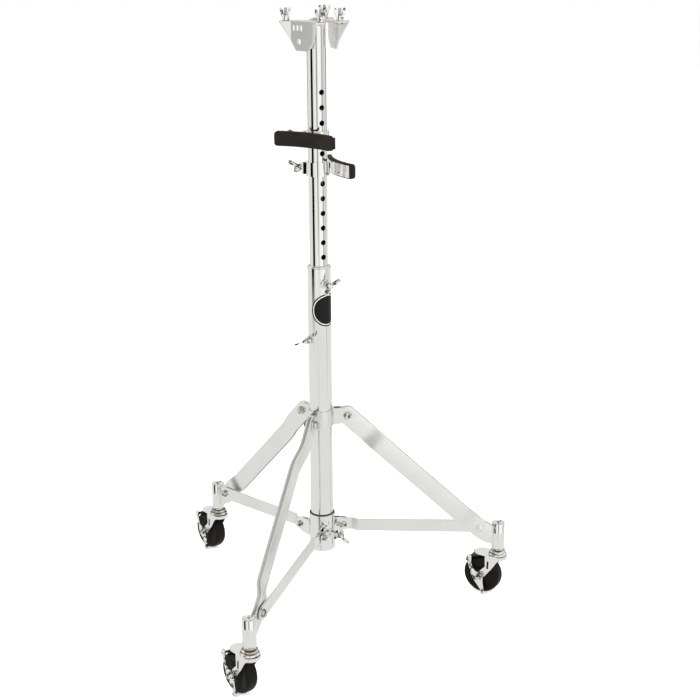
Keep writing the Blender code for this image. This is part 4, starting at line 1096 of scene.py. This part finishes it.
def build_collar():
    """The sliding hub: sleeve, three clevises, the boss of its wing screw, and a black ring in its mouth that
    stands in for the dark rim of shade and reflection there.
    """
    low = low_z("collar")
    high = high_z("collar")
    pin_z = height_of("strut_turn_front")
    half = 0.0138
    bore = POST_R + GAP
    core = bore - 0.0010
    radius = COLLAR_R
    piece = fine("collar", turned([
        (core, low), (radius - 0.0006, low), (radius, low + 0.0006), (radius, high - 0.0022),
        (radius - 0.0006, high - 0.0016), (bore + 0.0009, high - 0.0016), (bore + 0.0009, high - 0.0102),
        (core, high - 0.0102)]))
    for key in LEG_KEYS:
        turn = lateral_basis((0, 0, 0), JOINTS["strut_turn_" + key]["axis"])
        for face in (CLEVIS_NEAR - CLEVIS_SHEET, CLEVIS_FAR):
            root = sqrt(0.0227 ** 2 - face ** 2)
            outline = ear(root, COLLAR_PIN_R, pin_z, 0.008, half, 0.0119, 75, 14)
            welded(piece, moved(upright(outline, face, face + CLEVIS_SHEET), turn))
        base = lifted([(0.0212, -half), (0.0250, -half), (0.0250, half), (0.0212, half)], pin_z)
        welded(piece, moved(upright(base, CLEVIS_NEAR - 0.0015, CLEVIS_FAR + 0.0015), turn))
        bored(piece, moved(across(rod(0.0036, 0.002, 0.03), (COLLAR_PIN_R, 0, pin_z)), turn))
    root = radius - 0.0012
    reach = radius + BOSS_REACH
    boss = [(0, root), (BOSS_R + 0.0010, root), (BOSS_R, 0.0256), (BOSS_R, reach), (0, reach)]
    bossed(piece, "collar_screw", boss, 0.015)
    bored(piece, rod(bore, low - 0.01, high + 0.01, 96))
    softened(piece, 0.0006, 3, 35)
    settle(piece, "collar", "bright", AXIS, "collar")

    # Painted shade: a black ring at the collar's mouth stands in for the dark rim of shade and dark reflection
    # there.
    dark_rim_profile = [(bore, -0.0100), (bore + 0.0008, -0.0100), (bore + 0.0008, -0.0015), (0.0236, -0.0015),
              (0.0236, -0.0004), (0.0230, 0), (bore, 0)]
    settle(object_of("collar_liner", turned(lifted(dark_rim_profile, high))), "collar", "nylon", AXIS)


def build_caster(key):
    """Swivel head, fork, wheel and brake lever of one caster."""
    basis = joint_basis("wheel_spin_" + key)
    x, y, _z = place_of("caster_swivel_" + key)
    low = low_z("caster_head_" + key)
    top = high_z("caster_head_" + key)
    stem = 0.0057
    steps = [(stem, -0.0031), (stem, 0), (0.0160, 0), (0.0171, 0.0006), (0.0175, 0.0022), (0.0170, 0.0036),
             (0.0158, 0.0046), (0.0150, 0.0052), (0.0146, 0.0062), (0.0150, 0.0078), (0.0143, 0.0094),
             (0.0124, 0.0106), (0.0110, 0.0110)]
    profile = ([(0, low), (0.0084, low), (0.0084, HEAD_SEAT - 0.0031)] + lifted(steps, HEAD_SEAT)
               + [(0.0106, HEAD_TOP - 0.0006), (0.0100, HEAD_TOP), (stem, HEAD_TOP), (stem, top - 0.001),
                  (0.0047, top), (0, top)])
    head = fine("caster_head_" + key, turned(profile, 72))
    softened(head, 0.0003, 2, 35)
    settle(head, "leg_" + key, "head", Matrix.Translation((x, y, 0)), "caster_head_" + key)

    build_fork(key, basis)
    build_wheel(key, basis)
    build_brake(key, basis)


def build_fork(key, basis):
    """The pressed fork: a skirted crown that reaches out over the wheel, and two tapering slotted cheeks."""
    cheek_in = WHEEL_HUB_HALF + GAP
    cheek_out = cheek_in + FORK_SHEET
    top = CROWN_UP
    swivel = (-TRAIL, 0)
    bow = [(0.0020 + (CROWN_END - 0.0020) * x, cheek_out * y) for x, y in arc((0, 0), 1.0, -90, 90, 28)]
    piece = fine("caster_fork_" + key, prism(arc(swivel, CROWN_R, 123, 237, 28) + bow, top - FORK_SHEET, top))
    skirt = arc(swivel, CROWN_R, 118, 242, 28) + arc(swivel, CROWN_R - FORK_SHEET, 242, 118, 28)
    welded(piece, prism(skirt, top - CROWN_SKIRT, top - FORK_SHEET / 2))
    cheek = ([(-0.0100, top - 0.0004), (-0.0108, 0.0215)] + arc((0, 0), 0.0078, 67, -160, 24)
             + [(-0.0240, 0.0180), (-0.0285, 0.0246), (-0.0325, 0.0312), (-0.0362, 0.0362), (-0.0402, 0.0398),
                (-0.0402, top - 0.0004)])
    for side in (1, -1):
        welded(piece, upright(cheek, side * cheek_in, side * cheek_out))
    hole = rod(0.0060, top - 0.01, top + 0.01)
    bored(piece, across(rod(PIN_HOLE_R, -0.03, 0.03)), moved(hole, Matrix.Translation((-TRAIL, 0, 0))))
    slot = round_bar((-0.0160, 0.0190), (-0.0168, 0.0322), 0.0019, 0.0019, 8)
    for side in (1, -1):
        bored(piece, upright(slot, side * (cheek_in - 0.001), side * (cheek_out + 0.001)))
    softened(piece, 0.0009, 4, 35)
    settle(piece, "fork_" + key, "bright", basis, "caster_fork_" + key)


def build_wheel(key, basis):
    """A rubber wheel: rounded tread with a fine mould line, dished faces and a proud hub."""
    hub = [(0.0042, WHEEL_HUB_HALF), (0.0088, WHEEL_HUB_HALF), (0.0094, WHEEL_HUB_HALF - 0.0008)]
    face = [(0.0102, -0.0016), (0.0150, -0.0020), (0.0240, -0.0020), (0.0276, -0.0012), (0.0284, -0.0003),
            (0.0292, -0.0001), (0.0300, -0.0004), (0.0325, -0.0001), (0.0340, -0.0005), (0.0356, -0.0016),
            (0.0366, -0.0032), (0.0372, -0.0054), (WHEEL_R, -0.0080)]
    side = hub + lifted(face, WHEEL_HALF) + [(WHEEL_R, 0.0004)]
    outline = side + [(WHEEL_R - 0.0002, 0.0)] + [(r, -z) for r, z in reversed(side)]
    piece = fine("wheel_" + key, across(turned(outline)))
    settle(piece, "wheel_" + key, "wheel", basis, "wheel_" + key)


def build_brake(key, basis):
    """The brake: a cranked near arm with a knob, a bar on the far side, and the shoe over the tread."""
    near = WHEEL_HUB_HALF + 0.0006 + 0.0025
    far = near + 0.0020
    knob_x, knob_z = BRAKE_KNOB
    arm = ([(0.0180, 0.0250), (0.0172, 0.0392), (0.0190, 0.0412), (0.0222, 0.0416), (0.0270, 0.0388),
            (0.0288, 0.0326), (0.0250, 0.0235), (0.0196, 0.0090), (0.0160, -0.0040), (0.0080, -0.0150),
            (-0.0034, -0.0285)]
           + arc(BRAKE_KNOB, 0.0046, -20, -190, 14)
           + [(-0.0100, -0.0262), (-0.0076, -0.0120)] + arc((0, 0), 0.0080, 200, 100, 12)
           + [(0.0060, 0.0076), (0.0138, 0.0130)])
    piece = fine("brake_lever_" + key, upright(arm, near, far))
    tilt = radians(54)
    bar = round_bar((0, 0), (0.0415 * cos(tilt), 0.0415 * sin(tilt)), 0.0086, 0.0046, 16)
    knob = [(0, near), (0.0044, near), (0.0046, far + 0.0022), (0.0038, far + 0.0034), (0, far + 0.0038)]
    welded(piece, upright(bar, -far, -near), across(turned(knob, 32), (knob_x, 0, knob_z)))
    bored(piece, across(rod(PIN_HOLE_R, -0.03, 0.03)))
    softened(piece, 0.0006, 3, 35)
    settle(piece, "brake_" + key, "cast", basis, "brake_lever_" + key)

    inner, outer = SHOE_REACH
    start, end = SHOE_ANGLES
    curve = arc((0, 0), inner, start, end, 24) + arc((0, 0), outer, end, start, 24)
    shoe = object_of("brake_shoe_" + key, upright(curve, -near - 0.0006, near - 0.0001))
    softened(shoe, 0.0006, 3, 35)
    settle(shoe, "brake_" + key, "wheel", basis)


# Studio
CAMERA_BACK = 2.5377
CAMERA_HEIGHT = 1.3264
CAMERA_PITCH = 17.634
CAMERA_YAW = 1.515
CAMERA_ROLL = -0.28
FOCAL_PIXELS = 1460.8
IMAGE_PIXELS = 700.0
CENTRE_PIXEL = (356.9, 351.2)
SENSOR = 36.0
ROOM_LIGHT = 0.84
FLOOR_GLOW = 0.50
# Azimuth, half width, sine of the lowest and highest elevation, soft edge; then how dark
DARK_CARDS = (
    ((-62.0, 12.5, -0.305, 0.62, 4.0), 1.0),
    ((-1.0, 3.0, -0.26, 0.30, 3.0), 0.80),
    ((-17.0, 3.0, -0.60, -0.37, 2.0), 0.28),
    ((73.0, 2.0, -0.35, 0.50, 3.0), 0.45),
    ((97.0, 3.0, -0.30, 0.50, 4.0), 0.35),
    ((150.0, 14.0, -0.20, 0.40, 8.0), 0.75),
    ((-150.0, 10.0, -0.20, 0.35, 8.0), 0.70),
)
LAMPS = (
    ("key", (-1.6, -1.9, 2.6), 1.8, 46.0),
    ("fill", (2.2, -1.2, 1.9), 1.6, 26.0),
    ("back", (0.4, 2.2, 2.4), 1.8, 34.0),
)


def build_camera():
    data = bpy.data.cameras.new("camera")
    data.sensor_width = SENSOR
    data.lens = FOCAL_PIXELS / IMAGE_PIXELS * SENSOR
    data.shift_x = (IMAGE_PIXELS / 2 - CENTRE_PIXEL[0]) / IMAGE_PIXELS
    data.shift_y = (CENTRE_PIXEL[1] - IMAGE_PIXELS / 2) / IMAGE_PIXELS
    camera = bpy.data.objects.new("camera", data)
    bpy.context.scene.collection.objects.link(camera)
    camera.location = MAST_AXIS + Vector((0, -CAMERA_BACK, CAMERA_HEIGHT))
    turns = ((-CAMERA_YAW, "Z"), (90 - CAMERA_PITCH, "X"), (CAMERA_ROLL, "Z"))
    yaw, pitch, roll = [Matrix.Rotation(radians(angle), 3, axis) for angle, axis in turns]
    camera.rotation_euler = (yaw @ pitch @ roll).to_euler()
    bpy.context.scene.camera = camera


def build_studio():
    """A white floor, a pale room with a few dark cards for the chrome to mirror, and soft lamps."""
    bpy.context.scene.view_settings.view_transform = "Standard"
    world = bpy.data.worlds.new("studio")
    bpy.context.scene.world = world
    paint = Paint(world)
    x, y, rise = paint.xyz(paint.node("TexCoord", out=0))
    heading = paint.node("Math", {0: x, 1: -y}, operation="ARCTAN2")

    def card(azimuth, half_width, low, high, edge=2.0):
        """1 inside a card at this azimuth, in degrees from the front, and between two sines of elevation."""
        off = (heading - radians(azimuth)).absolute()
        side = 1.0 - off.step(radians(half_width), radians(half_width + edge))
        return side * rise.step(low, low + 0.06) * (1.0 - rise.step(high, high + 0.10))

    dark = sum((card(*place) * depth for place, depth in DARK_CARDS), 0.0)
    dark = dark.maths("MINIMUM", 1.0)
    bright = card(38, 16, -0.30, 0.60, 14.0) * 0.25 + card(-20, 9, -0.30, 0.50, 8.0) * 0.12
    ceiling = rise.step(0.74, 0.92) * 0.60
    room = (ROOM_LIGHT + bright - ceiling) * (1.0 - dark)
    direct = paint.node("LightPath", out=0)
    strength = direct + (1.0 - direct) * room
    tint = paint.blend(direct, colour(1.0, 1.0, 0.985), colour(1.0, 1.0, 1.0))
    background = paint.node("Background", {"Color": tint, "Strength": strength})
    paint.node("OutputWorld", {"Surface": background})

    bm = bmesh.new()
    bmesh.ops.create_circle(bm, cap_ends=True, radius=9.0, segments=96)
    floor = object_of("floor", bm)
    floor.location = MAST_AXIS + Vector((0, 0, -0.0002))
    white = {"Base Color": colour(0.90, 0.90, 0.89), "Roughness": 0.8,
             "Emission Color": colour(1.0, 1.0, 0.99), "Emission Strength": FLOOR_GLOW}
    floor.data.materials.append(surface("floor_white", white))
    floor.visible_glossy = False

    for name, place, size, power in LAMPS:
        lamp = bpy.data.lights.new(name, "AREA")
        lamp.shape = "DISK"
        lamp.size = size
        lamp.energy = power
        lamp_object = bpy.data.objects.new(name, lamp)
        bpy.context.scene.collection.objects.link(lamp_object)
        lamp_object.location = MAST_AXIS + Vector(place)
        aim = MAST_AXIS + Vector((0, 0, 0.5)) - lamp_object.location
        lamp_object.rotation_euler = aim.to_track_quat("-Z", "Y").to_euler()
        lamp_object.visible_glossy = False


build_camera()
build_studio()
build_post()
build_badge()
build_mast()
for key in DRUM_KEYS:
    build_head_bracket(key)
    for letter, turn in (("a", 22.0), ("b", -14.0)):
        build_wing_nut("wing_nut_%s_%s" % (key, letter), turn)
for key in REST_KEYS:
    build_rest(key)
    build_wing_screw("rest_screw_" + key, "rest_screw_" + key)
for node in ("height_screw_upper", "height_screw_lower", "collar_screw"):
    build_wing_screw(node, node)
build_leg_bracket()
build_collar()
build_bolts()
for key in LEG_KEYS:
    build_leg(key)
    build_strut(key)
    build_caster(key)
